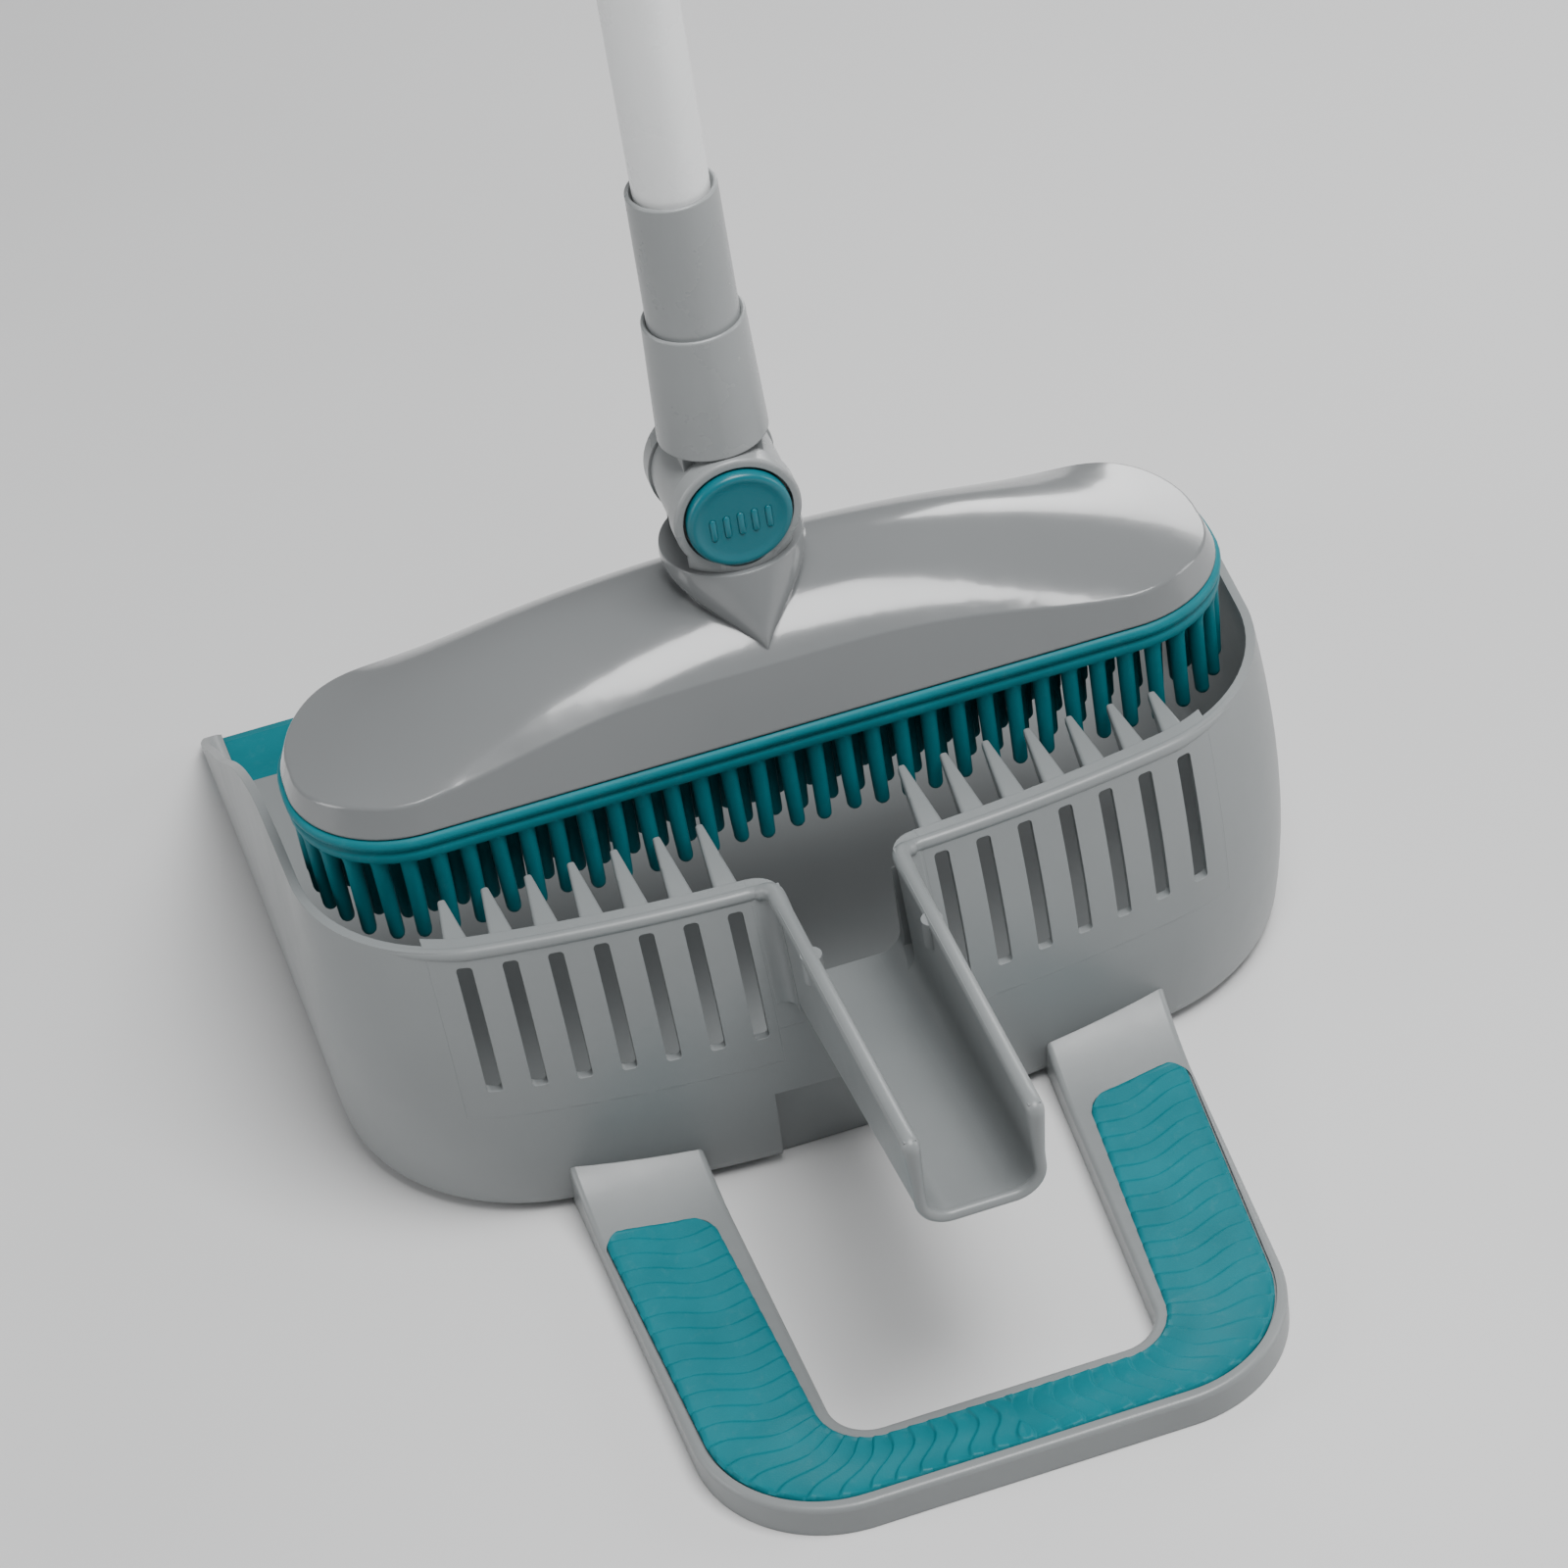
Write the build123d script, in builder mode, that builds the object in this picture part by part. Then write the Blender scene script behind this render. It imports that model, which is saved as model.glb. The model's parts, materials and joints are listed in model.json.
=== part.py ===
"""Carpet broom with a push-button swivel head, standing on its step-on comb dustpan.

Frame: millimetres, +Z up, origin on the floor under the middle of the whole object.
+Y points to the dustpan's mouth, -Y to the foot loop, and X = 0 is the plane of symmetry.
"""
import os
from math import sqrt

from build123d import *

os.makedirs("parts", exist_ok=True)

# ---------------------------------------------------------------- driving dimensions
REACH = 213.0            # half of the whole depth, from the mouth's lip to the foot loop's end
RIM_Y = -64.0            # where the rear wall's rim crosses the plane of symmetry
PAN_HEIGHT = 106.7
PAN_WALL = 2.6
MOUTH_HALF = 165.0       # half width of the dustpan at its lip
FAR = 400.0              # longer than any piece of the dustpan, for trimming blocks

# Outer wall of the dustpan at three heights: height, rear line, half width at the rear,
# corner radius and how far the rear line bows.
WALL_LEVELS = [
    (0.0, RIM_Y - 3.0, 151.0, 68.0, 22.0),
    (57.0, RIM_Y - 9.0, 153.0, 62.0, 23.0),
    (PAN_HEIGHT, RIM_Y + 1.0, 149.5, 56.0, 20.0),
]

TOOTH_FIRST = 31.7       # X of the comb tooth next to the cradle
TOOTH_PITCH = 13.26
TEETH = 7                # on each side
TOOTH_TIP_Y = RIM_Y + 37.0
SLOT_WIDTH = 4.6
SLOT_LOW = 57.6
SLOT_HIGH = PAN_HEIGHT - 5.2
COMB_INNER = 26.3        # the comb insert spans these X distances and starts at this height
COMB_OUTER = 121.0
COMB_LOW = 47.0
RAIL_THICK = 5.4
RAIL_DEEP = 5.2
TOOTH_ROOT = (7.6, 8.8)  # width and height of a comb tooth at its root and at its tip
TOOTH_TIP = (2.4, 3.4)

CRADLE_HALF = 17.5       # inner half width of the pole cradle at the wall
CRADLE_END_HALF = 15.7
CRADLE_LENGTH = 131.0
CRADLE_WALL = 2.6

LOOP_HEIGHT = 10.6
PAD_TOP = 11.8
PAD_BED = 9.4
LIP_DEPTH = 30.0

HEAD_Y = RIM_Y + 77.5    # middle of the broom head
HEAD_HALF = 147.0
HEAD_DEPTH = 80.0
HEAD_CORNER = 37.0
COLLAR_LOW = 121.5
COLLAR_TOP = 130.3
BRISTLE_TIP = 90.0
COVER_LOW = 130.8
COVER_WALL = 2.3
# Crosswise arches of the cover's crown: distance from the middle, height of the ridge, radius.
CROWN_ARCHES = [(0.0, 165.5, 40.0), (60.0, 160.5, 47.0), (110.0, 148.0, 80.0), (150.0, 135.5, 190.0)]

HUB_Z = 195.0            # swivel axis
CUP_TOP = 177.0
CUP_RADIUS = 21.5
CHEEK_RADIUS = 19.2
CHEEK_OUT = 18.0         # cheeks lie between these distances from the head's middle plane
CHEEK_IN = 11.5
KNUCKLE_RADIUS = 18.4
PIN_RADIUS = 5.0
BUTTON_RADIUS = 16.3

SOCKET_TOP = 254.5
ADAPTOR_TOP = 297.0
POLE_RADIUS = 11.0
POLE_WALL = 0.8
POLE_LOW = 233.0
POLE_TOP = 715.0
INNER_RADIUS = 9.3
INNER_LOW = 306.0
COLLAR_RADIUS = 15.2
GRIP_LOW = 782.0
GRIP_TOP = 940.0
CAP_TOP = 978.0
RUNNING = 0.05           # radial clearance of a running fit
GAP = 0.3                # clearance between pieces that move past each other


# ---------------------------------------------------------------- helpers
def pan_outline(height, rear_y, rear_half, corner, bow, inset=0.0, front=REACH):
    """Plan outline of the dustpan wall at one height, drawn `inset` inside the outer face."""
    half = rear_half - inset
    mouth = MOUTH_HALF - inset
    with BuildSketch(Plane.XY.offset(height)) as outline:
        with BuildLine():
            side_y = rear_y + inset + bow
            ThreePointArc((-half, side_y), (0, rear_y + inset), (half, side_y))
            Polyline((half, side_y), (mouth, front), (-mouth, front), (-half, side_y))
        make_face()
        rear_corners = outline.vertices().sort_by(Axis.Y)[:2]
        fillet(rear_corners, corner - inset)
    return outline.sketch


def wall_bow_y(x, level):
    """Y of the wall's outer face at distance x from the middle, on one of WALL_LEVELS."""
    _, rear_y, rear_half, _, bow = level
    bow_radius = (rear_half**2 + bow**2) / (2 * bow)
    return rear_y + bow_radius - sqrt(bow_radius**2 - x**2)


def head_outline(height, inset):
    """Plan outline of the broom head, `inset` inside the collar's outer face."""
    with BuildSketch(Plane.XY.offset(height)) as outline:
        with Locations((0, HEAD_Y)):
            RectangleRounded(2 * (HEAD_HALF - inset), HEAD_DEPTH - 2 * inset, HEAD_CORNER - inset)
    return outline.sketch


def tube_plane(height):
    """Horizontal sketch plane centred on the pole's axis."""
    return Plane(origin=(0, HEAD_Y, height))


def ring(radius, bore, low, high):
    """A plain ring or bush on the pole's axis."""
    with BuildPart() as bush:
        with BuildSketch(tube_plane(low)):
            Circle(radius)
            Circle(bore, mode=Mode.SUBTRACT)
        extrude(amount=high - low)
    return bush.part


def save(piece, name):
    """Label a finished piece and write it as the STEP file of its node."""
    piece.label = name
    export_step(piece, f"parts/{name}.step")


# ---------------------------------------------------------------- dustpan
with BuildPart() as outer_form:
    loft([pan_outline(*level) for level in WALL_LEVELS])
    fillet(outer_form.edges().group_by(Axis.Z)[0].sort_by(Axis.Y)[:-1], 9.0)

with BuildPart() as inner_form:
    loft([pan_outline(h, *shape, inset=PAN_WALL, front=REACH + 10) for h, *shape in WALL_LEVELS])
    with BuildSketch(Plane.XY.offset(PAN_WALL)):
        Rectangle(2 * FAR, 2 * FAR)
    extrude(amount=-20, mode=Mode.SUBTRACT)
    fillet(inner_form.edges().group_by(Axis.Z)[0].sort_by(Axis.Y)[:-1], 6.5)
    with BuildSketch(Plane.XY.offset(PAN_HEIGHT - 0.01)):
        add(pan_outline(0, *WALL_LEVELS[2][1:], inset=PAN_WALL, front=REACH + 10))
    extrude(amount=10)

with BuildPart() as side_form:
    with BuildSketch(Plane.YZ):
        with BuildLine():
            Polyline((REACH, 3.2), (REACH, -1), (-FAR, -1), (-FAR, PAN_HEIGHT), (RIM_Y + 96, PAN_HEIGHT))
            Spline(
                (RIM_Y + 96, PAN_HEIGHT), (RIM_Y + 123, 101.5), (RIM_Y + 188, 61), (RIM_Y + 242, 25),
                (REACH, 3.2),
                tangents=((1, 0), (1, -0.5)),
            )
        make_face()
    extrude(amount=FAR, both=True)


CRADLE_SLOPE = 0.132     # rise of the cradle's rims along its length
CRADLE_FLOOR = 59.8      # underside of the cradle at the wall
CRADLE_END_FLOOR = 90.5
CRADLE_BEAD = 0.9        # the rims are this much thicker, over the bead's depth
BEAD_DEPTH = 3.2


def cradle_solid(half, end_half, start, floor_lift=0.0, top_lift=0.0, bead=False):
    """Long wedge under the cradle's sloping rims: a solid outside, inside or bead form of it."""
    y_wall = RIM_Y + start
    y_end = RIM_Y - CRADLE_LENGTH
    top_wall = PAN_HEIGHT - CRADLE_SLOPE * start
    top_end = PAN_HEIGHT + CRADLE_SLOPE * CRADLE_LENGTH
    low_wall = top_wall - BEAD_DEPTH if bead else CRADLE_FLOOR + floor_lift
    low_end = top_end - BEAD_DEPTH if bead else CRADLE_END_FLOOR + floor_lift
    with BuildPart() as wedge:
        with BuildSketch(Plane.YZ):
            with BuildLine():
                Polyline(
                    (y_wall, low_wall), (y_wall, top_wall + top_lift), (y_end, top_end + top_lift),
                    (y_end, low_end), (y_wall, low_wall),
                )
            make_face()
        extrude(amount=half + 3, both=True)
        with BuildSketch(Plane.XY):
            with BuildLine():
                Polyline(
                    (-half, y_wall), (half, y_wall), (end_half, y_end), (-end_half, y_end), (-half, y_wall)
                )
            make_face()
        extrude(amount=FAR, mode=Mode.INTERSECT)
        if not bead:
            underside = wedge.faces().sort_by(Axis.Z)[0]
            long_edges = underside.edges().filter_by(lambda edge: abs(edge.tangent_at(0.5).Y) > 0.5)
            fillet(long_edges, 9.0 - 0.5 * floor_lift)
    return wedge.part


OUTER_HALF = CRADLE_HALF + CRADLE_WALL
OUTER_END_HALF = CRADLE_END_HALF + CRADLE_WALL
cradle_outer = cradle_solid(OUTER_HALF, OUTER_END_HALF, 6.4)
cradle_inner = cradle_solid(CRADLE_HALF, CRADLE_END_HALF, 12.0, floor_lift=CRADLE_WALL, top_lift=30.0)
cradle_beads = cradle_solid(OUTER_HALF + CRADLE_BEAD, OUTER_END_HALF + CRADLE_BEAD, -8.0, bead=True)

RECESS_HALF = 31.0       # shallow recess in the foot of the rear wall
RECESS_TOP = 34.0

with BuildPart() as recess_backing:
    with BuildSketch(Plane.YZ):
        with BuildLine():
            Polyline(
                (RIM_Y - 15, 0), (RIM_Y + 5.0, 0), (RIM_Y - 0.5, RECESS_TOP + PAN_WALL),
                (RIM_Y - 15, RECESS_TOP + PAN_WALL), (RIM_Y - 15, 0),
            )
        make_face()
    extrude(amount=RECESS_HALF + PAN_WALL, both=True)
    add(outer_form.part, mode=Mode.INTERSECT)

with BuildPart() as cradle_window:
    with BuildSketch(Plane.XZ.offset(-RIM_Y)):
        with Locations((0, CRADLE_FLOOR + 50)):
            Rectangle(2 * COMB_INNER, 100)
    extrude(amount=40, both=True)

with BuildPart() as pan_tray:
    add(outer_form.part)
    add(inner_form.part, mode=Mode.SUBTRACT)
    add(side_form.part, mode=Mode.INTERSECT)
    add(recess_backing.part)
    with BuildSketch(Plane.YZ):
        with BuildLine():
            Polyline(
                (RIM_Y - 40, -1), (RIM_Y + 2.4, -1), (RIM_Y - 3.0, RECESS_TOP), (RIM_Y - 40, RECESS_TOP),
                (RIM_Y - 40, -1),
            )
        make_face()
    extrude(amount=RECESS_HALF, both=True, mode=Mode.SUBTRACT)
    with BuildSketch(Plane.XZ.offset(-RIM_Y)):
        for side in (-1, 1):
            with Locations((side * (COMB_INNER + COMB_OUTER) / 2, COMB_LOW + 50)):
                Rectangle(COMB_OUTER - COMB_INNER, 100)
        with Locations((0, CRADLE_FLOOR + 50)):
            Rectangle(2 * COMB_INNER, 100)
    extrude(amount=50, both=True, mode=Mode.SUBTRACT)
    add(cradle_outer, mode=Mode.SUBTRACT)
    # the flexible lip takes the place of the floor along the mouth
    with BuildSketch(Plane.XY.offset(-1)):
        with Locations((0, REACH - LIP_DEPTH / 2)):
            Rectangle(2 * (MOUTH_HALF - PAN_WALL - 1.2), LIP_DEPTH)
    extrude(amount=PAN_WALL + 1.1, mode=Mode.SUBTRACT)
save(pan_tray.part, "pan_tray")

with BuildPart() as front_lip:
    with BuildSketch(Plane.YZ):
        with BuildLine():
            Polyline(
                (REACH - LIP_DEPTH, 0), (REACH, 0), (REACH, 1.0), (REACH - 4, 2.0),
                (REACH - LIP_DEPTH, PAN_WALL), (REACH - LIP_DEPTH, 0),
            )
        make_face()
    extrude(amount=MOUTH_HALF - PAN_WALL - 1.2, both=True)
save(front_lip.part, "front_lip")


def facing_mouth(x, y, z):
    """Upright sketch plane through a point, facing +Y."""
    return Plane(origin=(x, y, z), x_dir=(1, 0, 0), z_dir=(0, 1, 0))


def comb_insert(side):
    """Slotted wall insert with its rim rail and inward comb teeth, for X > 0 or X < 0."""
    middle = side * (COMB_INNER + COMB_OUTER) / 2
    with BuildPart() as comb:
        add(outer_form.part)
        add(inner_form.part, mode=Mode.SUBTRACT)
        with BuildSketch(Plane.XY.offset(PAN_HEIGHT - RAIL_DEEP)):
            add(pan_outline(0, *WALL_LEVELS[2][1:]))
            add(pan_outline(0, *WALL_LEVELS[2][1:], inset=RAIL_THICK), mode=Mode.SUBTRACT)
        extrude(amount=RAIL_DEEP)
        add(outer_form.part, mode=Mode.INTERSECT)
        with BuildSketch(Plane.XY.offset(COMB_LOW)):
            with Locations((middle, RIM_Y)):
                Rectangle(COMB_OUTER - COMB_INNER, 110)
        extrude(amount=80, mode=Mode.INTERSECT)
        for index in range(TEETH):
            x = side * (TOOTH_FIRST + index * TOOTH_PITCH)
            root_y = wall_bow_y(abs(x), WALL_LEVELS[2]) + 4.2
            with BuildSketch(facing_mouth(x, root_y, PAN_HEIGHT - 4.5)):
                RectangleRounded(*TOOTH_ROOT, 1.2)
            with BuildSketch(facing_mouth(x, TOOTH_TIP_Y, PAN_HEIGHT - 2.2)):
                RectangleRounded(*TOOTH_TIP, 0.9)
            loft()
        with BuildSketch(Plane.XZ.offset(-RIM_Y)):
            for index in range(TEETH):
                with Locations((side * (TOOTH_FIRST + index * TOOTH_PITCH), (SLOT_LOW + SLOT_HIGH) / 2)):
                    RectangleRounded(SLOT_WIDTH, SLOT_HIGH - SLOT_LOW, 1.2)
        extrude(amount=40, both=True, mode=Mode.SUBTRACT)
    return comb.part


save(comb_insert(-1), "comb_left")
save(comb_insert(1), "comb_right")

CORNER_OUT = 4.0         # radii where the wall turns into the cradle's sides
CORNER_IN = 8.0
CORNER_STEM = 4.0        # the corner block runs this far down the cradle's side
CORNER_CLEAR = 3.0       # the rounding tool reaches this far beyond the wall
CORNER_BOW = 0.45        # the bowed wall lies this far back beside the cradle
CORNER_LEVELS = (69.0, 88.0, PAN_HEIGHT + 1.5)


def wall_face_y(height):
    """Y of the rear wall's outer face beside the cradle, between the top two wall levels."""
    (z0, y0, *_), (z1, y1, *_), (z2, y2, *_) = WALL_LEVELS
    low_slope = (y1 - y0) / (z1 - z0)
    high_slope = (y2 - y1) / (z2 - z1)
    bend = (high_slope - low_slope) / (z2 - z0)
    return y0 + low_slope * (height - z0) + bend * (height - z0) * (height - z1) + CORNER_BOW


def corner_plan(height, side, solid):
    """Plan of a cradle corner: its rounded wall when solid, else what the inner rounding removes."""
    face = wall_face_y(height)
    inner = face + RAIL_THICK
    turn_x = CRADLE_HALF + CORNER_IN
    turn_y = inner - CORNER_IN
    mid_x = turn_x - CORNER_IN * sqrt(0.5)
    mid_y = turn_y + CORNER_IN * sqrt(0.5)
    out_x = OUTER_HALF + CORNER_OUT
    out_y = face - CORNER_OUT
    with BuildSketch(Plane.XY.offset(height)) as plan:
        with BuildLine():
            ThreePointArc((side * CRADLE_HALF, turn_y), (side * mid_x, mid_y), (side * turn_x, inner))
            if solid:
                Polyline((side * turn_x, inner), (side * turn_x, face), (side * out_x, face))
                ThreePointArc(
                    (side * out_x, face),
                    (side * (out_x - CORNER_OUT * sqrt(0.5)), out_y + CORNER_OUT * sqrt(0.5)),
                    (side * OUTER_HALF, out_y),
                )
                Polyline(
                    (side * OUTER_HALF, out_y), (side * OUTER_HALF, turn_y - CORNER_STEM),
                    (side * CRADLE_HALF, turn_y - CORNER_STEM), (side * CRADLE_HALF, turn_y),
                )
            else:
                clear_x = CRADLE_HALF - CORNER_CLEAR
                Polyline(
                    (side * turn_x, inner), (side * turn_x, inner + CORNER_CLEAR),
                    (side * clear_x, inner + CORNER_CLEAR), (side * clear_x, turn_y),
                    (side * CRADLE_HALF, turn_y),
                )
        make_face()
    return plan.sketch


with BuildPart() as pole_cradle:
    add(outer_form.part)
    add(inner_form.part, mode=Mode.SUBTRACT)
    with BuildSketch(Plane.XY.offset(PAN_HEIGHT - RAIL_DEEP)):
        add(pan_outline(0, *WALL_LEVELS[2][1:]))
        add(pan_outline(0, *WALL_LEVELS[2][1:], inset=RAIL_THICK), mode=Mode.SUBTRACT)
    extrude(amount=RAIL_DEEP)
    add(outer_form.part, mode=Mode.INTERSECT)
    add(cradle_window.part, mode=Mode.INTERSECT)
    add(cradle_outer)
    add(cradle_beads)
    add(cradle_inner, mode=Mode.SUBTRACT)
    # the wall turns into the cradle's sides through rounded corners
    for side in (-1, 1):
        loft([corner_plan(height, side, solid=False) for height in CORNER_LEVELS], mode=Mode.SUBTRACT)
        loft([corner_plan(height, side, solid=True) for height in CORNER_LEVELS])
    with BuildSketch(Plane.XY.offset(PAN_HEIGHT)):
        with Locations((0, RIM_Y + 10)):
            Rectangle(2 * COMB_INNER, 20)
    extrude(amount=20, mode=Mode.SUBTRACT)
    # snap ribs that hold the pole
    with BuildSketch(Plane.XY.offset(PAN_HEIGHT - 5.5)):
        for side in (-1, 1):
            with Locations((side * (CRADLE_HALF + 0.6), RIM_Y - 36)):
                Circle(3.2)
    extrude(amount=9.5)
save(pole_cradle.part, "pole_cradle")


def loop_plan(inset, start_outer, start_inner):
    """Plan of the U-shaped foot loop, `inset` inside its edges, with legs starting at the given Y."""
    end_y = -REACH + inset
    cross_y = -REACH + 25.6 - inset
    with BuildSketch() as plan:
        with BuildLine():
            Polyline(
                (-97.0 + inset, start_outer), (-87.0 + inset, end_y), (87.0 - inset, end_y),
                (97.0 - inset, start_outer), (56.8 + inset, start_inner), (48.6 + inset, cross_y),
                (-48.6 - inset, cross_y), (-56.8 - inset, start_inner), (-97.0 + inset, start_outer),
            )
        make_face()
        end_corners = plan.vertices().filter_by_position(Axis.Y, end_y - 0.1, end_y + 0.1)
        fillet(end_corners, 42.0 - inset)
        cross_corners = plan.vertices().filter_by_position(Axis.Y, cross_y - 0.1, cross_y + 0.1)
        fillet(cross_corners, 13.0 + inset)
        if inset > 3:
            leg_corners = plan.vertices().filter_by_position(Axis.Y, start_inner - 0.1, start_outer + 0.1)
            fillet(leg_corners, 7.0)
    return plan.sketch


with BuildPart() as foot_pad:
    with BuildSketch(Plane.XY.offset(PAD_BED)):
        add(loop_plan(3.6, RIM_Y - 19.5, RIM_Y - 25.5))
    extrude(amount=PAD_TOP - PAD_BED)
    fillet(foot_pad.faces().sort_by(Axis.Z)[-1].edges(), 0.8)

with BuildPart() as foot_loop:
    with BuildSketch(Plane.XY):
        add(loop_plan(0.0, RIM_Y + 30, RIM_Y + 30))
    extrude(amount=30)
    with BuildSketch(Plane.YZ):
        with BuildLine():
            Polyline(
                (RIM_Y - 28, LOOP_HEIGHT), (-FAR, LOOP_HEIGHT), (-FAR, -1), (RIM_Y + 40, -1),
                (RIM_Y + 40, 21), (RIM_Y + 2, 21),
            )
            Spline(
                (RIM_Y + 2, 21), (RIM_Y - 12, 13.6), (RIM_Y - 28, LOOP_HEIGHT),
                tangents=((-1, -0.9), (-1, 0)),
            )
        make_face()
    extrude(amount=FAR, both=True, mode=Mode.INTERSECT)
    rims = foot_loop.edges().filter_by_position(Axis.Z, LOOP_HEIGHT - 0.1, 20.9)
    fillet(rims.filter_by(lambda edge: abs(edge.center().Y - (RIM_Y - 28)) > 0.5), 1.8)
    add(outer_form.part, mode=Mode.SUBTRACT)
    add(foot_pad.part, mode=Mode.SUBTRACT)
    # the moulding is hollow from below
    with BuildSketch(Plane.XY):
        add(loop_plan(2.6, RIM_Y - 14, RIM_Y - 14))
    extrude(amount=LOOP_HEIGHT - 3.6, mode=Mode.SUBTRACT)
save(foot_loop.part, "foot_loop")
save(foot_pad.part, "foot_pad")


# ---------------------------------------------------------------- broom head
def crown_vault(shrink):
    """Arched top of the cover, lofted through its crosswise arches."""
    side = HEAD_DEPTH / 2 + 4
    stations = [(-x, ridge, radius) for x, ridge, radius in reversed(CROWN_ARCHES[1:])] + CROWN_ARCHES
    with BuildPart() as vault:
        for x, ridge, radius in stations:
            top = ridge - shrink
            bend = min(radius - shrink, radius - 1)
            reach = 0.97 * min(bend, side)
            side_z = top - bend + sqrt(bend**2 - reach**2)
            with BuildSketch(Plane.YZ.offset(x)):
                with BuildLine():
                    ThreePointArc((HEAD_Y - reach, side_z), (HEAD_Y, top), (HEAD_Y + reach, side_z))
                    Polyline(
                        (HEAD_Y + reach, side_z), (HEAD_Y + side, side_z - 6), (HEAD_Y + side, 60),
                        (HEAD_Y - side, 60), (HEAD_Y - side, side_z - 6), (HEAD_Y - reach, side_z),
                    )
                make_face()
        loft()
    return vault.part


def crown_solid(shrink):
    """Body of the head cover, `shrink` inside its outer face."""
    vault = crown_vault(shrink)
    with BuildPart() as crown:
        add(head_outline(COVER_LOW, 1.4 + shrink))
        extrude(amount=50, taper=21)
        add(vault, mode=Mode.INTERSECT)
    return crown.part


def ridge_z(x):
    """Height of the cover's ridge above the floor at distance x to either side of the middle."""
    for (x0, z0, _), (x1, z1, _) in zip(CROWN_ARCHES, CROWN_ARCHES[1:]):
        if abs(x) <= x1:
            return z0 + (z1 - z0) * (abs(x) - x0) / (x1 - x0)


CUP_FLOOR = 161.0
SPIGOT_RADIUS = 14.5
# The cup's outline narrows from its round rim to a keel: height, X radius, Y radius.
CUP_SECTIONS = [
    (CUP_TOP, CUP_RADIUS, CUP_RADIUS), (171.0, 21.3, 23.6), (163.0, 16.0, 26.4), (153.5, 3.0, 28.6),
]
BOSS_LOW = 150.0
POST_X = (62.0, 108.0)
POST_SPOTS = [(side * x, HEAD_Y) for x in POST_X for side in (-1, 1)]
CARRIER_LOW = 125.0
CARRIER_TOP = 128.6
SCREW_RADIUS = 1.5

with BuildPart() as head_cover:
    add(crown_solid(0))
    crease = head_cover.edges().filter_by(lambda e: e.center().Z > COVER_LOW + 3)
    fillet(crease, 1.2)
    add(crown_solid(COVER_WALL), mode=Mode.SUBTRACT)
    # skirt that drops inside the collar
    with BuildSketch(Plane.XY.offset(CARRIER_TOP - 3.0)):
        add(head_outline(0, 3.5))
        add(head_outline(0, 5.3), mode=Mode.SUBTRACT)
    extrude(amount=7.5)
    # screw posts
    for x, y in POST_SPOTS:
        with BuildSketch(Plane.XY.offset(CARRIER_TOP)):
            with Locations((x, y)):
                Circle(4.2)
        extrude(amount=ridge_z(x) - 2.4 - CARRIER_TOP)
    # cup that carries the swivel fork
    for height, across, along_y in CUP_SECTIONS:
        with BuildSketch(tube_plane(height)):
            Ellipse(across, along_y)
    loft()
    with BuildSketch(tube_plane(BOSS_LOW)):
        Circle(9.0)
    extrude(amount=CUP_FLOOR - BOSS_LOW)
    with BuildSketch(tube_plane(CUP_FLOOR)):
        Circle(SPIGOT_RADIUS)
    extrude(amount=30, mode=Mode.SUBTRACT)
    with BuildSketch(tube_plane(BOSS_LOW - 1)):
        Circle(2.4)
    extrude(amount=30, mode=Mode.SUBTRACT)
    with BuildSketch(Plane.XY.offset(CARRIER_TOP - 1)):
        with Locations(*POST_SPOTS):
            Circle(SCREW_RADIUS)
    extrude(amount=16, mode=Mode.SUBTRACT)
save(head_cover.part, "head_cover")

BRISTLE_RADIUS = 2.5
BRISTLE_PITCH = 8.8
BRISTLE_ROWS = (4.0, 13.0, 22.0, 31.0)     # distances inside the collar's outer face
bristle_spots = []
for inset in BRISTLE_ROWS:
    path = head_outline(0, inset).wires()[0]
    count = 2 * round(path.length / BRISTLE_PITCH / 2)
    bristle_spots += [path.position_at(step / count) for step in range(count)]

with BuildPart() as bristle_mat:
    add(head_outline(COLLAR_LOW, 0))
    extrude(amount=COLLAR_TOP - COLLAR_LOW)
    fillet(bristle_mat.edges().group_by(Axis.Z)[-1], 1.6)
    fillet(bristle_mat.edges().group_by(Axis.Z)[0], 0.8)
    add(head_outline(CARRIER_LOW, 3.4))
    extrude(amount=20, mode=Mode.SUBTRACT)
    with BuildSketch(Plane.XY.offset(COLLAR_LOW + 1)):
        with Locations(*[(spot.X, spot.Y) for spot in bristle_spots]):
            Circle(BRISTLE_RADIUS)
    extrude(amount=BRISTLE_TIP - COLLAR_LOW - 1, taper=1.4)
save(bristle_mat.part, "bristle_mat")

with BuildPart() as bristle_carrier:
    add(head_outline(CARRIER_LOW, 5.4))
    extrude(amount=CARRIER_TOP - CARRIER_LOW)
    with BuildSketch(Plane.XY.offset(CARRIER_LOW - 1)):
        with Locations(*POST_SPOTS):
            Circle(1.9)
    extrude(amount=10, mode=Mode.SUBTRACT)
    with BuildSketch(Plane.XY.offset(CARRIER_LOW)):
        with Locations(*POST_SPOTS):
            Circle(3.8)
    extrude(amount=1.8, mode=Mode.SUBTRACT)
save(bristle_carrier.part, "bristle_carrier")

with BuildPart() as cover_screws:
    with BuildSketch(Plane.XY.offset(CARRIER_LOW + 0.1)):
        with Locations(*POST_SPOTS):
            Circle(3.5)
            RegularPolygon(1.3, 4, mode=Mode.SUBTRACT)
    extrude(amount=1.7)
    with BuildSketch(Plane.XY.offset(CARRIER_LOW + 1.2)):
        with Locations(*POST_SPOTS):
            Circle(SCREW_RADIUS)
    extrude(amount=15)
save(cover_screws.part, "cover_screws")


# ---------------------------------------------------------------- swivel
def along(y):
    """Sketch plane across the swivel axis at Y distance y from it, extruding towards +Y."""
    return Plane(origin=(0, HEAD_Y + y, HUB_Z), x_dir=(-1, 0, 0), z_dir=(0, 1, 0))


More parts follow.
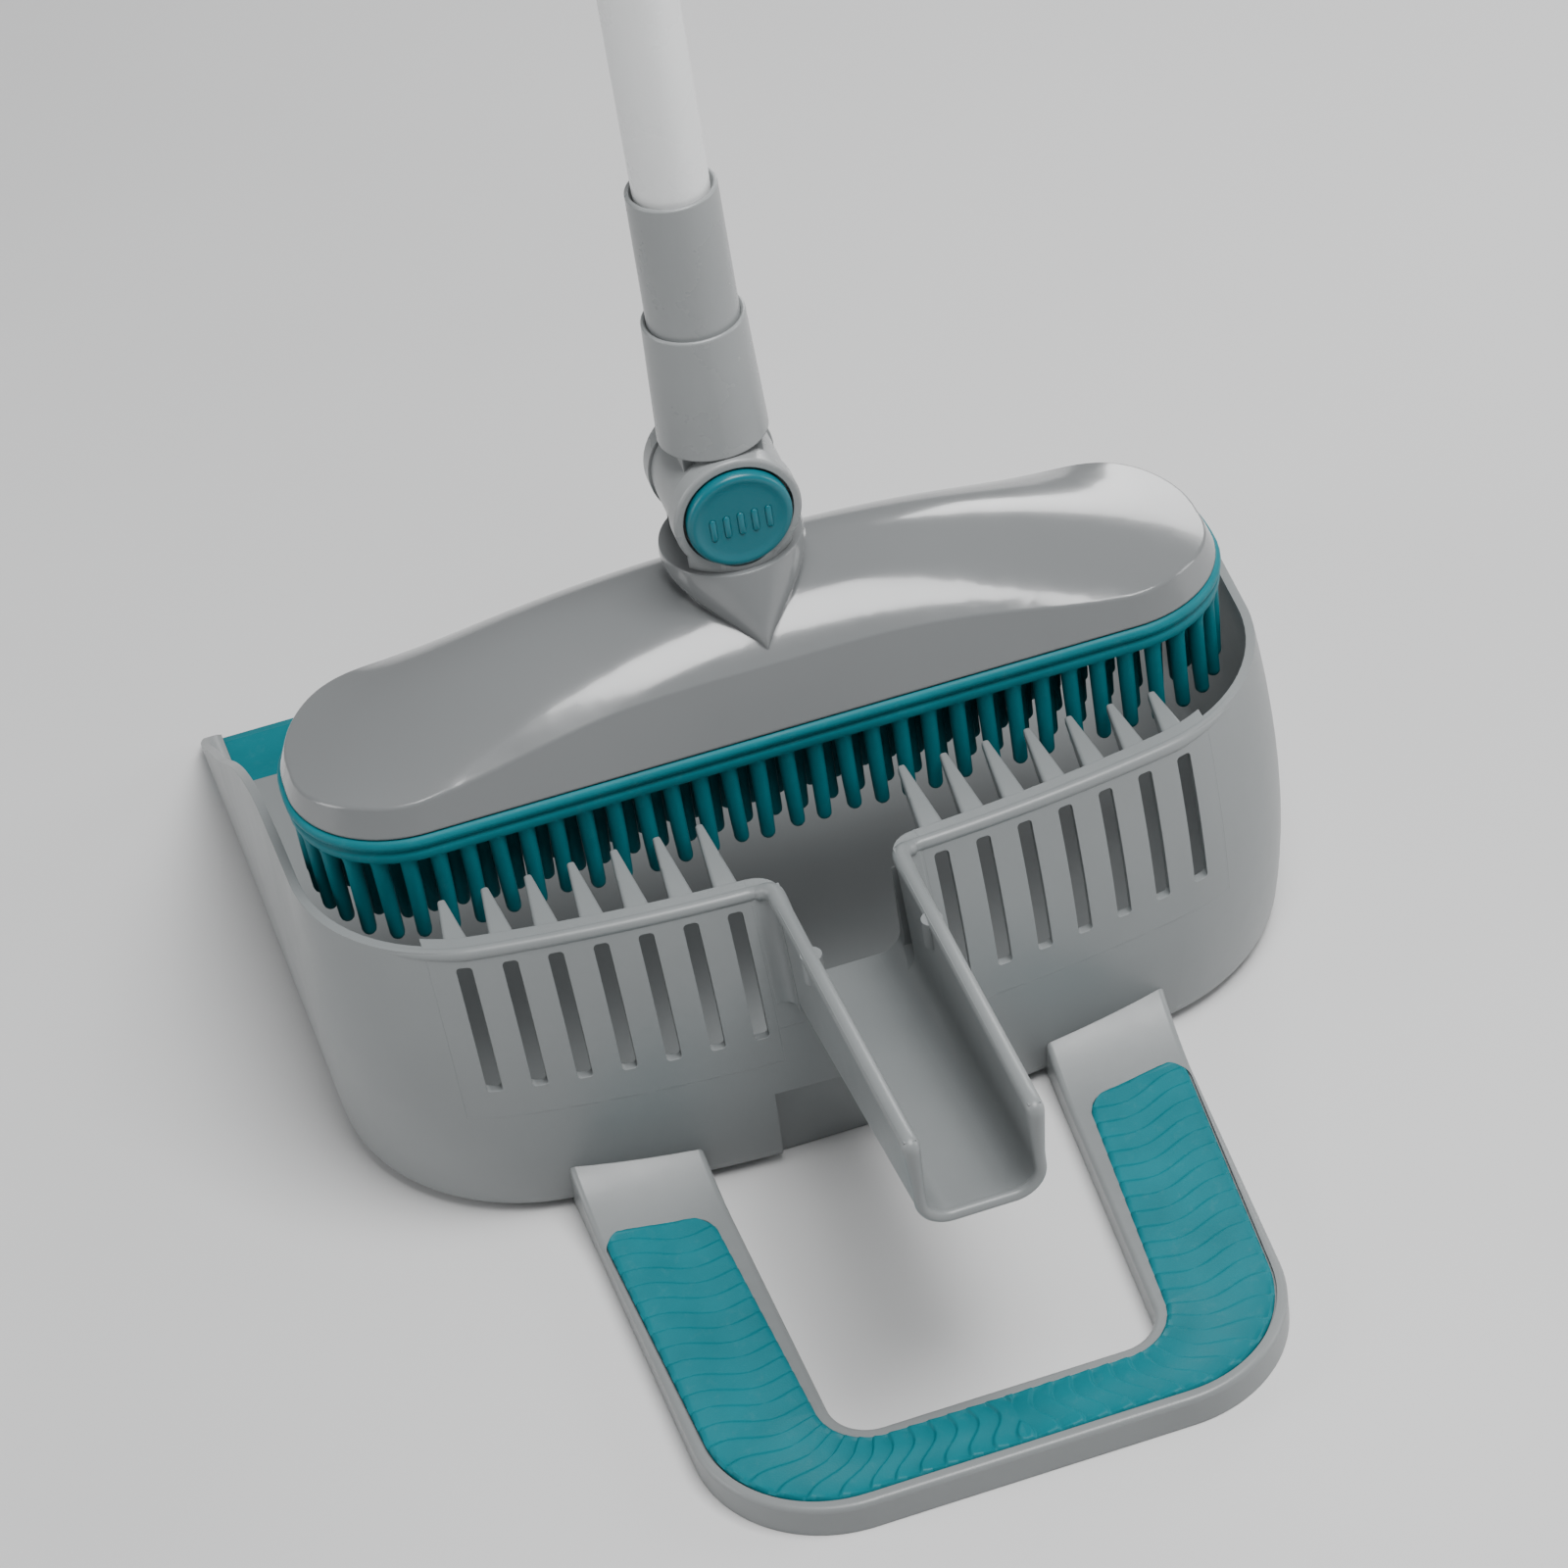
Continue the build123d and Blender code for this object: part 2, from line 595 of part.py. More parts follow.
BUTTON_WELL = -13.5      # floor of the button's well in the front cheek
WEB_HOLE = 9.0
CAP_SEAT = 15.4
SLOT_FLOOR = HUB_Z - 18.8
FORK_SCREW_RADIUS = 2.0

with BuildPart() as swivel_fork:
    with BuildSketch(along(-CHEEK_OUT)):
        Circle(CHEEK_RADIUS)
    extrude(amount=2 * CHEEK_OUT)
    fillet(swivel_fork.edges().filter_by(GeomType.CIRCLE), 1.0)
    with BuildSketch(tube_plane(CUP_FLOOR)):
        Circle(SPIGOT_RADIUS)
    extrude(amount=26)
    with BuildSketch(tube_plane(CUP_TOP)):
        Circle(19.6)
    extrude(amount=4)
    # below the cup's rim only the spigot is left
    with BuildSketch(tube_plane(CUP_TOP)):
        Circle(40)
        Circle(SPIGOT_RADIUS, mode=Mode.SUBTRACT)
    extrude(amount=-10, mode=Mode.SUBTRACT)
    # slot for the knuckle
    with BuildSketch(Plane.XZ.offset(-HEAD_Y)):
        with Locations((0, SLOT_FLOOR + 30)):
            Rectangle(60, 60)
    extrude(amount=CHEEK_IN, both=True, mode=Mode.SUBTRACT)
    # button well, stem hole, pin seat and cap seat
    with BuildSketch(along(-CHEEK_OUT - 3)):
        Circle(BUTTON_RADIUS + GAP)
    extrude(amount=BUTTON_WELL + CHEEK_OUT + 3, mode=Mode.SUBTRACT)
    with BuildSketch(along(-CHEEK_OUT)):
        Circle(WEB_HOLE)
    extrude(amount=CHEEK_OUT, mode=Mode.SUBTRACT)
    with BuildSketch(along(0)):
        Circle(PIN_RADIUS)
    extrude(amount=30, mode=Mode.SUBTRACT)
    with BuildSketch(along(CAP_SEAT)):
        Circle(10.0)
    extrude(amount=10, mode=Mode.SUBTRACT)
    with BuildSketch(tube_plane(CUP_FLOOR - 1)):
        Circle(FORK_SCREW_RADIUS)
    extrude(amount=11, mode=Mode.SUBTRACT)
save(swivel_fork.part, "swivel_fork")

with BuildPart() as fork_screw:
    with BuildSketch(tube_plane(BOSS_LOW - 2.4)):
        Circle(4.2)
        RegularPolygon(1.5, 4, mode=Mode.SUBTRACT)
    extrude(amount=2.4)
    with BuildSketch(tube_plane(BOSS_LOW - 0.8)):
        Circle(FORK_SCREW_RADIUS)
    extrude(amount=19)
save(fork_screw.part, "fork_screw")

with BuildPart() as pivot_pin:
    with BuildSketch(along(-1.6)):
        Circle(PIN_RADIUS)
    extrude(amount=CAP_SEAT + 1.6)
    chamfer(pivot_pin.edges().group_by(Axis.Y)[0], 0.6)
save(pivot_pin.part, "pivot_pin")

with BuildPart() as pivot_cap:
    with BuildSketch(along(CAP_SEAT)):
        Circle(10.0)
    extrude(amount=3.6)
    fillet(pivot_cap.edges().group_by(Axis.Y)[-1], 1.4)
save(pivot_cap.part, "pivot_cap")

BUTTON_FACE = -20.8
BUTTON_BACK = -16.9
STEM_END = -5.4
SPRING_SEAT = -2.0
with BuildPart() as push_button:
    with BuildSketch(along(BUTTON_FACE)):
        Circle(BUTTON_RADIUS)
    extrude(amount=BUTTON_BACK - BUTTON_FACE)
    fillet(push_button.edges().group_by(Axis.Y)[0], 1.3)
    # finger dish, edged by a low rim
    with BuildSketch(along(BUTTON_FACE)):
        Circle(BUTTON_RADIUS - 3.2)
    extrude(amount=0.5, taper=45, mode=Mode.SUBTRACT)
    with BuildSketch(along(BUTTON_BACK)):
        Circle(4.0)
    extrude(amount=STEM_END - BUTTON_BACK)
save(push_button.part, "push_button")

SPRING_WIRE = 0.45
SPRING_TURNS = 6
with BuildPart() as button_spring:
    spring_start = BUTTON_BACK + SPRING_WIRE
    spring_length = SPRING_SEAT - SPRING_WIRE - spring_start
    with BuildLine():
        coil = Helix(
            pitch=spring_length / SPRING_TURNS, height=spring_length, radius=5.4,
            center=(0, HEAD_Y + spring_start, HUB_Z), direction=(0, 1, 0),
        )
    with BuildSketch(Plane(origin=coil @ 0, z_dir=coil % 0)):
        Circle(SPRING_WIRE)
    sweep(path=coil, is_frenet=True)
save(button_spring.part, "button_spring")

SOCKET_LOW = HUB_Z + 19.6
SOCKET_BORE = 13.6
NECK_WIDTH = 24.0
NECK_HALF = 9.5
BORE_FLOOR = 224.0
with BuildPart() as handle_socket:
    with BuildSketch(along(-CHEEK_IN + GAP)):
        Circle(KNUCKLE_RADIUS)
    extrude(amount=2 * (CHEEK_IN - GAP))
    with BuildSketch(Plane.XZ.offset(-HEAD_Y)):
        with Locations((0, (HUB_Z + SOCKET_LOW + 4) / 2)):
            Rectangle(NECK_WIDTH, SOCKET_LOW + 4 - HUB_Z)
    extrude(amount=NECK_HALF, both=True)
    with BuildSketch(tube_plane(SOCKET_LOW)):
        Circle(16.4)
    extrude(amount=SOCKET_TOP - SOCKET_LOW, taper=1.9)
    fillet(handle_socket.edges().group_by(Axis.Z)[-1], 0.9)
    # journal that runs in the front cheek's web
    with BuildSketch(along(BUTTON_WELL + 0.2)):
        Circle(WEB_HOLE - RUNNING)
    extrude(amount=4)
    with BuildSketch(along(BUTTON_WELL - 1)):
        Circle(7.2)
    extrude(amount=SPRING_SEAT - BUTTON_WELL + 1, mode=Mode.SUBTRACT)
    with BuildSketch(along(-5)):
        Circle(PIN_RADIUS + RUNNING)
    extrude(amount=30, mode=Mode.SUBTRACT)
    with BuildSketch(tube_plane(BORE_FLOOR)):
        Circle(SOCKET_BORE)
    extrude(amount=40, mode=Mode.SUBTRACT)
    with BuildSketch(tube_plane(SOCKET_TOP)):
        Circle(SOCKET_BORE + 0.8)
    extrude(amount=-0.8, taper=45, mode=Mode.SUBTRACT)
save(handle_socket.part, "handle_socket")


# ---------------------------------------------------------------- telescopic pole
with BuildPart() as pole_adaptor:
    with BuildSketch(tube_plane(BORE_FLOOR)):
        Circle(SOCKET_BORE)
    extrude(amount=SOCKET_TOP - BORE_FLOOR - 1)
    with BuildSketch(tube_plane(SOCKET_TOP - 1)):
        Circle(SOCKET_BORE - 0.1)
    extrude(amount=ADAPTOR_TOP - SOCKET_TOP + 1, taper=0.5)
    fillet(pole_adaptor.edges().group_by(Axis.Z)[-1], 0.7)
    with BuildSketch(tube_plane(POLE_LOW)):
        Circle(POLE_RADIUS)
    extrude(amount=80, mode=Mode.SUBTRACT)
    with BuildSketch(tube_plane(ADAPTOR_TOP)):
        Circle(POLE_RADIUS + 1.0)
    extrude(amount=-2.4, taper=22, mode=Mode.SUBTRACT)
    with BuildSketch(tube_plane(BORE_FLOOR - 1)):
        Circle(6.5)
    extrude(amount=20, mode=Mode.SUBTRACT)
save(pole_adaptor.part, "pole_adaptor")

POLE_BORE = POLE_RADIUS - POLE_WALL
INNER_BORE = INNER_RADIUS - POLE_WALL
save(ring(POLE_RADIUS, POLE_BORE, POLE_LOW, POLE_TOP), "lower_pole")
save(ring(POLE_BORE, INNER_RADIUS + RUNNING, POLE_TOP - 25, POLE_TOP), "guide_bush")

COLLET_TOP = POLE_TOP + 29
with BuildPart() as clamp_collet:
    with BuildSketch(tube_plane(POLE_TOP)):
        Circle(12.1)
        Circle(INNER_RADIUS + RUNNING, mode=Mode.SUBTRACT)
    extrude(amount=COLLET_TOP - POLE_TOP - GAP)
    with BuildSketch(tube_plane(POLE_TOP + 4)):
        with Locations((12, 0)):
            Rectangle(8, 1.6)
    extrude(amount=40, mode=Mode.SUBTRACT)
save(clamp_collet.part, "clamp_collet")

COLLAR_START = POLE_TOP - 15
COLLAR_END = COLLET_TOP + 17
with BuildPart() as twist_collar:
    with BuildSketch(tube_plane(COLLAR_START)):
        Circle(COLLAR_RADIUS - 1.8)
    with BuildSketch(tube_plane(COLLAR_START + 22)):
        Circle(COLLAR_RADIUS)
    with BuildSketch(tube_plane(COLLAR_END)):
        Circle(COLLAR_RADIUS - 1.2)
    loft()
    fillet(twist_collar.edges().group_by(Axis.Z)[-1], 1.2)
    with BuildSketch(tube_plane(COLLAR_START + 8)):
        with PolarLocations(COLLAR_RADIUS + 0.9, 12):
            Circle(1.6)
    extrude(amount=38, mode=Mode.SUBTRACT)
    with BuildSketch(tube_plane(COLLAR_START - 1)):
        Circle(POLE_RADIUS + RUNNING)
    extrude(amount=16, mode=Mode.SUBTRACT)
    with BuildSketch(tube_plane(POLE_TOP)):
        Circle(12.1 + GAP)
    extrude(amount=COLLET_TOP - POLE_TOP, mode=Mode.SUBTRACT)
    with BuildSketch(tube_plane(COLLET_TOP - 1)):
        Circle(INNER_RADIUS + GAP)
    extrude(amount=40, mode=Mode.SUBTRACT)
save(twist_collar.part, "twist_collar")

save(ring(INNER_RADIUS, INNER_BORE, INNER_LOW, GRIP_TOP - 10), "upper_pole")

with BuildPart() as inner_glide:
    with BuildSketch(tube_plane(INNER_LOW - 10)):
        Circle(POLE_BORE - RUNNING)
    extrude(amount=10)
    with BuildSketch(tube_plane(INNER_LOW)):
        Circle(INNER_BORE)
    extrude(amount=14)
save(inner_glide.part, "inner_glide")

with BuildPart() as hand_grip:
    with BuildSketch(Plane(origin=(0, HEAD_Y, 0), x_dir=(1, 0, 0), z_dir=(0, -1, 0))):
        with BuildLine():
            Polyline(
                (INNER_RADIUS, GRIP_TOP), (INNER_RADIUS, GRIP_LOW), (12.6, GRIP_LOW), (14.4, GRIP_LOW + 5)
            )
            Spline(
                (14.4, GRIP_LOW + 5), (13.4, GRIP_LOW + 45), (14.6, GRIP_LOW + 90), (13.6, GRIP_TOP - 20),
                (14.2, GRIP_TOP - 3),
            )
            Polyline((14.2, GRIP_TOP - 3), (13.6, GRIP_TOP), (INNER_RADIUS, GRIP_TOP))
        make_face()
    revolve(axis=Axis((0, HEAD_Y, 0), (0, 0, 1)))
save(hand_grip.part, "hand_grip")

EYE_Z = CAP_TOP - 14
with BuildPart() as hanging_cap:
    with BuildSketch(tube_plane(GRIP_TOP - 24)):
        Circle(INNER_BORE)
    extrude(amount=14)
    with BuildSketch(tube_plane(GRIP_TOP - 10)):
        Circle(INNER_RADIUS)
    extrude(amount=10)
    with BuildSketch(tube_plane(GRIP_TOP)):
        Circle(13.2)
    extrude(amount=CAP_TOP - GRIP_TOP, taper=2)
    fillet(hanging_cap.edges().group_by(Axis.Z)[-1], 6.0)
    for side in (-1, 1):
        with BuildSketch(Plane.XZ.offset(-HEAD_Y - side * 15)):
            with Locations((0, EYE_Z + 2)):
                RectangleRounded(40, 32, 8)
        extrude(amount=side * 9.8, mode=Mode.SUBTRACT)
    with BuildSketch(Plane.XZ.offset(-HEAD_Y)):
        with Locations((0, EYE_Z)):
            Circle(5.5)
    extrude(amount=20, both=True, mode=Mode.SUBTRACT)
save(hanging_cap.part, "hanging_cap")
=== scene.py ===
import json
from math import atan2, cos, hypot, pi, radians, sin, sqrt, tan
from random import Random

import bpy
from mathutils import Matrix, Vector


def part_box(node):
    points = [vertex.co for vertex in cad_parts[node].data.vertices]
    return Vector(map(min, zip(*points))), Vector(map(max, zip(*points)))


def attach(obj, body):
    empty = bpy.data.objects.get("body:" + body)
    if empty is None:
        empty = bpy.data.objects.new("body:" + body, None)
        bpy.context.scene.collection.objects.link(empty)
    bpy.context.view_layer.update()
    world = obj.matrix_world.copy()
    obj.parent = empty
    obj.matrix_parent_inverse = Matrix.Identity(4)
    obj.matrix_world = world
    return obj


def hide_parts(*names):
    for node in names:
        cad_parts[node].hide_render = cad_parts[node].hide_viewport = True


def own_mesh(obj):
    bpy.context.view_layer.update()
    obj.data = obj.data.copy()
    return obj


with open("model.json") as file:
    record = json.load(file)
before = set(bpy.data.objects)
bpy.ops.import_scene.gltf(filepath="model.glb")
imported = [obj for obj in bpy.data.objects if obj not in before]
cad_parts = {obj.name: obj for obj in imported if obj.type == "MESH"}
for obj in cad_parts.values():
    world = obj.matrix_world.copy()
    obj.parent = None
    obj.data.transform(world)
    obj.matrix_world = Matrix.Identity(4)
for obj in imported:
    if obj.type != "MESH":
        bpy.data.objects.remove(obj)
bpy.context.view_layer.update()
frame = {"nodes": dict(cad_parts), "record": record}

MM = 0.001


# ---------------------------------------------------------------- camera
CAMERA_PLACE = (-0.1713, -0.9553, 0.9035)
CAMERA_YAW, CAMERA_RISE, CAMERA_ROLL = -10.2, 40.0, -9.74
LENS, SENSOR_WIDTH = 95.3, 36.0


def make_camera():
    """Above and a little left of the foot loop, rolled so that the broom leans left."""
    yaw, rise, roll = radians(CAMERA_YAW), radians(CAMERA_RISE), radians(CAMERA_ROLL)
    back = Vector((sin(yaw) * cos(rise), -cos(yaw) * cos(rise), sin(rise)))
    flat_right = Vector((cos(yaw), sin(yaw), 0.0))
    flat_up = back.cross(flat_right)
    right = cos(roll) * flat_right + sin(roll) * flat_up
    up = back.cross(right)
    data = bpy.data.cameras.new("camera")
    data.sensor_width = SENSOR_WIDTH
    data.lens = LENS
    camera = bpy.data.objects.new("camera", data)
    aim = Matrix((right, up, back)).transposed().to_4x4()
    camera.matrix_world = Matrix.Translation(CAMERA_PLACE) @ aim
    bpy.context.scene.collection.objects.link(camera)
    bpy.context.scene.camera = camera


# ---------------------------------------------------------------- materials
class Surface:
    """A material under construction: its node tree with short ways to add what the object needs."""

    def __init__(self, name):
        self.material = bpy.data.materials.new(name)
        self.material.use_nodes = True
        self.tree = self.material.node_tree
        self.shader = self.tree.nodes["Principled BSDF"]
        self.spot = self.add("ShaderNodeTexCoord").outputs["Object"]

    def add(self, kind, inputs=None, **settings):
        """A new node; an input that is a socket is linked, any other is set."""
        node = self.tree.nodes.new(kind)
        for key, value in settings.items():
            setattr(node, key, value)
        for key, value in (inputs or {}).items():
            if isinstance(value, bpy.types.NodeSocket):
                self.tree.links.new(value, node.inputs[key])
            else:
                node.inputs[key].default_value = value
        return node

    def set(self, **values):
        """Set or link the shader's sockets, named with _ for a space."""
        for key, value in values.items():
            socket = self.shader.inputs[key.replace("_", " ")]
            if isinstance(value, bpy.types.NodeSocket):
                self.tree.links.new(value, socket)
            else:
                socket.default_value = value

    def noise(self, size, detail=3.0, roughness=0.5, stretch=(1, 1, 1)):
        """Noise whose blotches are about `size` metres across, drawn out along an axis by stretch."""
        mapping = self.add("ShaderNodeMapping", {"Vector": self.spot, "Scale": [1 / v for v in stretch]})
        inputs = {"Vector": mapping.outputs[0], "Scale": 1 / size, "Detail": detail, "Roughness": roughness}
        return self.add("ShaderNodeTexNoise", inputs).outputs["Fac"]

    def spread(self, value, low, high, start=0.3, end=0.7):
        """Map a value between start and end to the range from low to high."""
        inputs = {"Value": value, "From Min": start, "From Max": end, "To Min": low, "To Max": high}
        return self.add("ShaderNodeMapRange", inputs).outputs[0]

    def times(self, a, b):
        return self.add("ShaderNodeMath", {0: a, 1: b}, operation="MULTIPLY").outputs[0]

    def plus(self, a, b):
        return self.add("ShaderNodeMath", {0: a, 1: b}, operation="ADD").outputs[0]

    def mix(self, factor, a, b):
        """Colour between a and b; in a colour Mix node they are inputs 6 and 7 and output 2."""
        return self.add("ShaderNodeMix", {0: factor, 6: a, 7: b}, data_type="RGBA").outputs[2]

    def soft_edges(self, radius):
        """Normal rounded over sharp edges, and a factor that is 1 on them."""
        bevel = self.add("ShaderNodeBevel", {"Radius": radius}, samples=6)
        flat = self.add("ShaderNodeNewGeometry").outputs["Normal"]
        dot = self.add("ShaderNodeVectorMath", {0: bevel.outputs[0], 1: flat}, operation="DOT_PRODUCT")
        return bevel.outputs[0], self.spread(dot.outputs["Value"], 1.0, 0.0, 0.80, 0.99)

    def bump(self, height, depth, normal=None):
        inputs = {"Height": height, "Distance": depth, "Strength": 1.0}
        if normal is not None:
            inputs["Normal"] = normal
        return self.add("ShaderNodeBump", inputs).outputs[0]


def tone(colour, factor):
    """The colour made paler or darker, with its alpha."""
    return [*(min(1.0, c * factor) for c in colour), 1.0]


def moulded_plastic(name, colour, roughness, grain_depth, highlight_amount=0.16, edge=0.7 * MM):
    """Injection-moulded plastic: fine spark-eroded grain, faint flow clouds and a painted highlight along its
    edges.
    """
    s = Surface(name)
    clouds = s.spread(s.noise(0.07, 2.0), 0.0, 1.0, 0.35, 0.65)
    flow = s.spread(s.noise(0.012, 4.0, stretch=(3, 1, 1)), 0.0, 1.0, 0.3, 0.7)
    base = s.mix(clouds, tone(colour, 0.95), tone(colour, 1.05))
    base = s.mix(s.times(flow, 0.25), base, tone(colour, 1.03))
    rounded, edges = s.soft_edges(edge)
    # edges made paler, varied by noise: a painted highlight along the edges
    edge_highlight = s.times(edges, s.spread(s.noise(0.009, 3.0), highlight_amount * 0.35, highlight_amount))
    smear = s.noise(0.035, 5.0, 0.6)
    grain = s.noise(0.00042, 2.0, 0.6)
    scuffs = s.spread(s.noise(0.0022, 6.0, 0.7, stretch=(9, 1, 1)), 0.0, 1.0, 0.66, 0.74)
    rough = s.plus(s.spread(smear, roughness - 0.05, roughness + 0.05), s.times(scuffs, 0.05))
    s.set(Base_Color=s.mix(edge_highlight, base, tone(colour, 1.9)), Roughness=rough, Specular_IOR_Level=0.5)
    s.set(Normal=s.bump(grain, grain_depth, rounded))
    return s.material


def glossy_cover(name, colour):
    """Polished cover moulding: a clear gloss with hairline scuffs and faint sink waves."""
    s = Surface(name)
    clouds = s.spread(s.noise(0.09, 2.0), 0.0, 1.0, 0.35, 0.65)
    base = s.mix(clouds, tone(colour, 0.97), tone(colour, 1.04))
    rounded, edges = s.soft_edges(0.9 * MM)
    hairlines = s.spread(s.noise(0.0016, 6.0, 0.65, stretch=(14, 1, 1)), 0.0, 1.0, 0.62, 0.72)
    waves = s.plus(s.noise(0.03, 1.0), s.times(s.noise(0.0006, 2.0), 0.02))
    smear = s.spread(s.noise(0.03, 5.0, 0.6), 0.13, 0.20)
    # edges made paler: a painted highlight along the edges
    s.set(Base_Color=s.mix(s.times(edges, 0.12), base, tone(colour, 1.8)))
    s.set(Roughness=s.plus(smear, s.times(hairlines, 0.06)), Specular_IOR_Level=0.55)
    s.set(Coat_Weight=0.35, Coat_Roughness=0.06)
    s.set(Normal=s.bump(waves, 0.00012, rounded))
    return s.material


def soft_rubber(name, colour, roughness, sheen):
    """Moulded thermoplastic rubber: satin skin with a fine pebble and dusty hollows."""
    s = Surface(name)
    clouds = s.spread(s.noise(0.02, 4.0), 0.0, 1.0, 0.3, 0.7)
    base = s.mix(clouds, tone(colour, 0.9), tone(colour, 1.08))
    dust = s.spread(s.noise(0.004, 6.0, 0.7), 0.0, 0.05, 0.55, 0.75)
    base = s.mix(dust, base, (0.30, 0.42, 0.44, 1.0))
    pebble = s.plus(s.noise(0.0005, 2.0), s.times(s.noise(0.003, 3.0), 0.5))
    s.set(Base_Color=base, Roughness=s.spread(s.noise(0.01, 4.0), roughness - 0.06, roughness + 0.06))
    s.set(Specular_IOR_Level=0.22, Sheen_Weight=sheen, Sheen_Roughness=0.4)
    s.set(Normal=s.bump(pebble, 0.00005))
    return s.material


def powder_coat(name, colour):
    """Powder-coated steel tube: orange peel, soft gloss and fine rub marks round the tube."""
    s = Surface(name)
    base = s.mix(s.spread(s.noise(0.05, 3.0), 0.0, 1.0), tone(colour, 0.96), tone(colour, 1.03))
    marks = s.spread(s.noise(0.003, 6.0, 0.7, stretch=(6, 6, 0.5)), 0.0, 1.0, 0.62, 0.75)
    peel = s.noise(0.0018, 2.0)
    s.set(Base_Color=s.mix(s.times(marks, 0.12), base, (0.45, 0.45, 0.45, 1.0)))
    s.set(Roughness=s.plus(s.spread(s.noise(0.02, 4.0), 0.24, 0.34), s.times(marks, 0.15)))
    s.set(Coat_Weight=0.25, Coat_Roughness=0.2, Normal=s.bump(peel, 0.00005))
    return s.material


def zinc_steel(name):
    """Zinc-plated steel with drawn scratches."""
    s = Surface(name)
    drawn = s.noise(0.0006, 5.0, 0.6, stretch=(1, 18, 1))
    base = s.mix(drawn, (0.50, 0.51, 0.52, 1.0), (0.72, 0.73, 0.74, 1.0))
    s.set(Base_Color=base, Metallic=1.0, Roughness=s.spread(drawn, 0.22, 0.42))
    s.set(Normal=s.bump(drawn, 0.00002))
    return s.material


PAN_GREY = (0.215, 0.228, 0.231)
COVER_GREY = (0.175, 0.183, 0.186)
JOINT_GREY = (0.26, 0.272, 0.275)
NATURAL = (0.52, 0.52, 0.49)
RUBBER_TEAL = (0.0, 0.150, 0.182)
BUTTON_TEAL = (0.0, 0.130, 0.165)
POLE_GREY = (0.80, 0.81, 0.81)
GRIP_GREY = (0.055, 0.058, 0.06)
GRAIN = 0.03 * MM

materials = {
    "pan_plastic": moulded_plastic("pan_grey", PAN_GREY, 0.36, GRAIN, highlight_amount=0.2, edge=0.3 * MM),
    "cover_plastic": glossy_cover("cover_grey", COVER_GREY),
    "joint_plastic": moulded_plastic("joint_grey", JOINT_GREY, 0.28, GRAIN, highlight_amount=0.14, edge=0.5 * MM),
    "inner_plastic": moulded_plastic("inner_natural", NATURAL, 0.45, GRAIN),
    "teal_rubber": soft_rubber("teal_rubber", RUBBER_TEAL, 0.50, sheen=0.0),
    "teal_plastic": moulded_plastic("teal_plastic", BUTTON_TEAL, 0.34, 0.02 * MM, highlight_amount=0.05, edge=0.3 * MM),
    "pole_paint": powder_coat("pole_paint", POLE_GREY),
    "grip_rubber": soft_rubber("grip_rubber", GRIP_GREY, 0.6, sheen=0.2),
    "steel": zinc_steel("zinc_steel"),
}


def finish_cad_nodes():
    """Give every carried-over CAD node its slot's material."""
    for row in frame["record"]["subparts"]:
        node = bpy.data.objects.get(row["node"]) or frame["nodes"][row["node"]]
        for slot in node.material_slots:
            slot.material = materials[row["material_slot"]]


# ---------------------------------------------------------------- mesh helpers
def piece(name, verts, faces, slot, body, stands_for, sharp):
    """A mesh object, given in millimetres, with its material, body and the CAD nodes it replaces."""
    mesh = bpy.data.meshes.new(name)
    mesh.from_pydata([(x * MM, y * MM, z * MM) for x, y, z in verts], [], faces)
    mesh.validate()
    mesh.shade_smooth()
    mesh.set_sharp_from_angle(angle=radians(sharp))
    mesh.materials.append(materials[slot])
    obj = bpy.data.objects.new(name, mesh)
    bpy.context.scene.collection.objects.link(obj)
    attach(obj, body)
    if stands_for:
        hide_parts(*stands_for)
    return obj


def bridge(faces, first, second, count, closed=True):
    """Quads between two rings of vertices that start at the given indices."""
    for i in range(count if closed else count - 1):
        j = (i + 1) % count
        faces.append((first + i, first + j, second + j, second + i))


def node_box(node):
    """Lowest and highest corners of a CAD node, in millimetres."""
    low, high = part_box(node)
    return [v / MM for v in low], [v / MM for v in high]


def straight(start, end, count):
    """Evenly spaced points from start towards end, without the end point."""
    return [(start[0] + (end[0] - start[0]) * i / count, start[1] + (end[1] - start[1]) * i / count)
            for i in range(count)]


def turn(centre, radius, start, end, steps):
    """Arc points in a plane, from one angle to another in degrees."""
    angles = [radians(start + (end - start) * i / steps) for i in range(steps + 1)]
    return [(centre[0] + radius * cos(a), centre[1] + radius * sin(a)) for a in angles]


def rounded_corner(before, corner, after, radius, count):
    """Points of the arc that rounds a corner of a path, without its end point; then its two ends."""
    ax, ay = before[0] - corner[0], before[1] - corner[1]
    bx, by = after[0] - corner[0], after[1] - corner[1]
    la, lb = hypot(ax, ay), hypot(bx, by)
    ax, ay, bx, by = ax / la, ay / la, bx / lb, by / lb
    half = 0.5 * atan2(abs(ax * by - ay * bx), ax * bx + ay * by)
    reach = radius / tan(half)
    mx, my = ax + bx, ay + by
    lm = hypot(mx, my)
    cx = corner[0] + mx / lm * radius / sin(half)
    cy = corner[1] + my / lm * radius / sin(half)
    start = (corner[0] + ax * reach, corner[1] + ay * reach)
    end = (corner[0] + bx * reach, corner[1] + by * reach)
    a0 = atan2(start[1] - cy, start[0] - cx)
    sweep = (atan2(end[1] - cy, end[0] - cx) - a0 + pi) % (2 * pi) - pi
    arc = [(cx + radius * cos(a0 + sweep * i / count), cy + radius * sin(a0 + sweep * i / count))
           for i in range(count)]
    return arc, start, end


# ---------------------------------------------------------------- bristle mat
HEAD_CORNER = 37.0
COLLAR_HEIGHT = 8.8
LIP_INSET = 5.4
MIDDLE_INSET = 39.5
PLATE_DROP = 5.3
BRISTLE_ROWS = (4.0, 13.0, 22.0, 31.0)
BRISTLE_PITCH = 8.8
BRISTLE_SIDES = 12
BRISTLE_TIP = 2.3
CORNER_STEPS, SIDE_STEPS, END_STEPS = 14, 40, 2


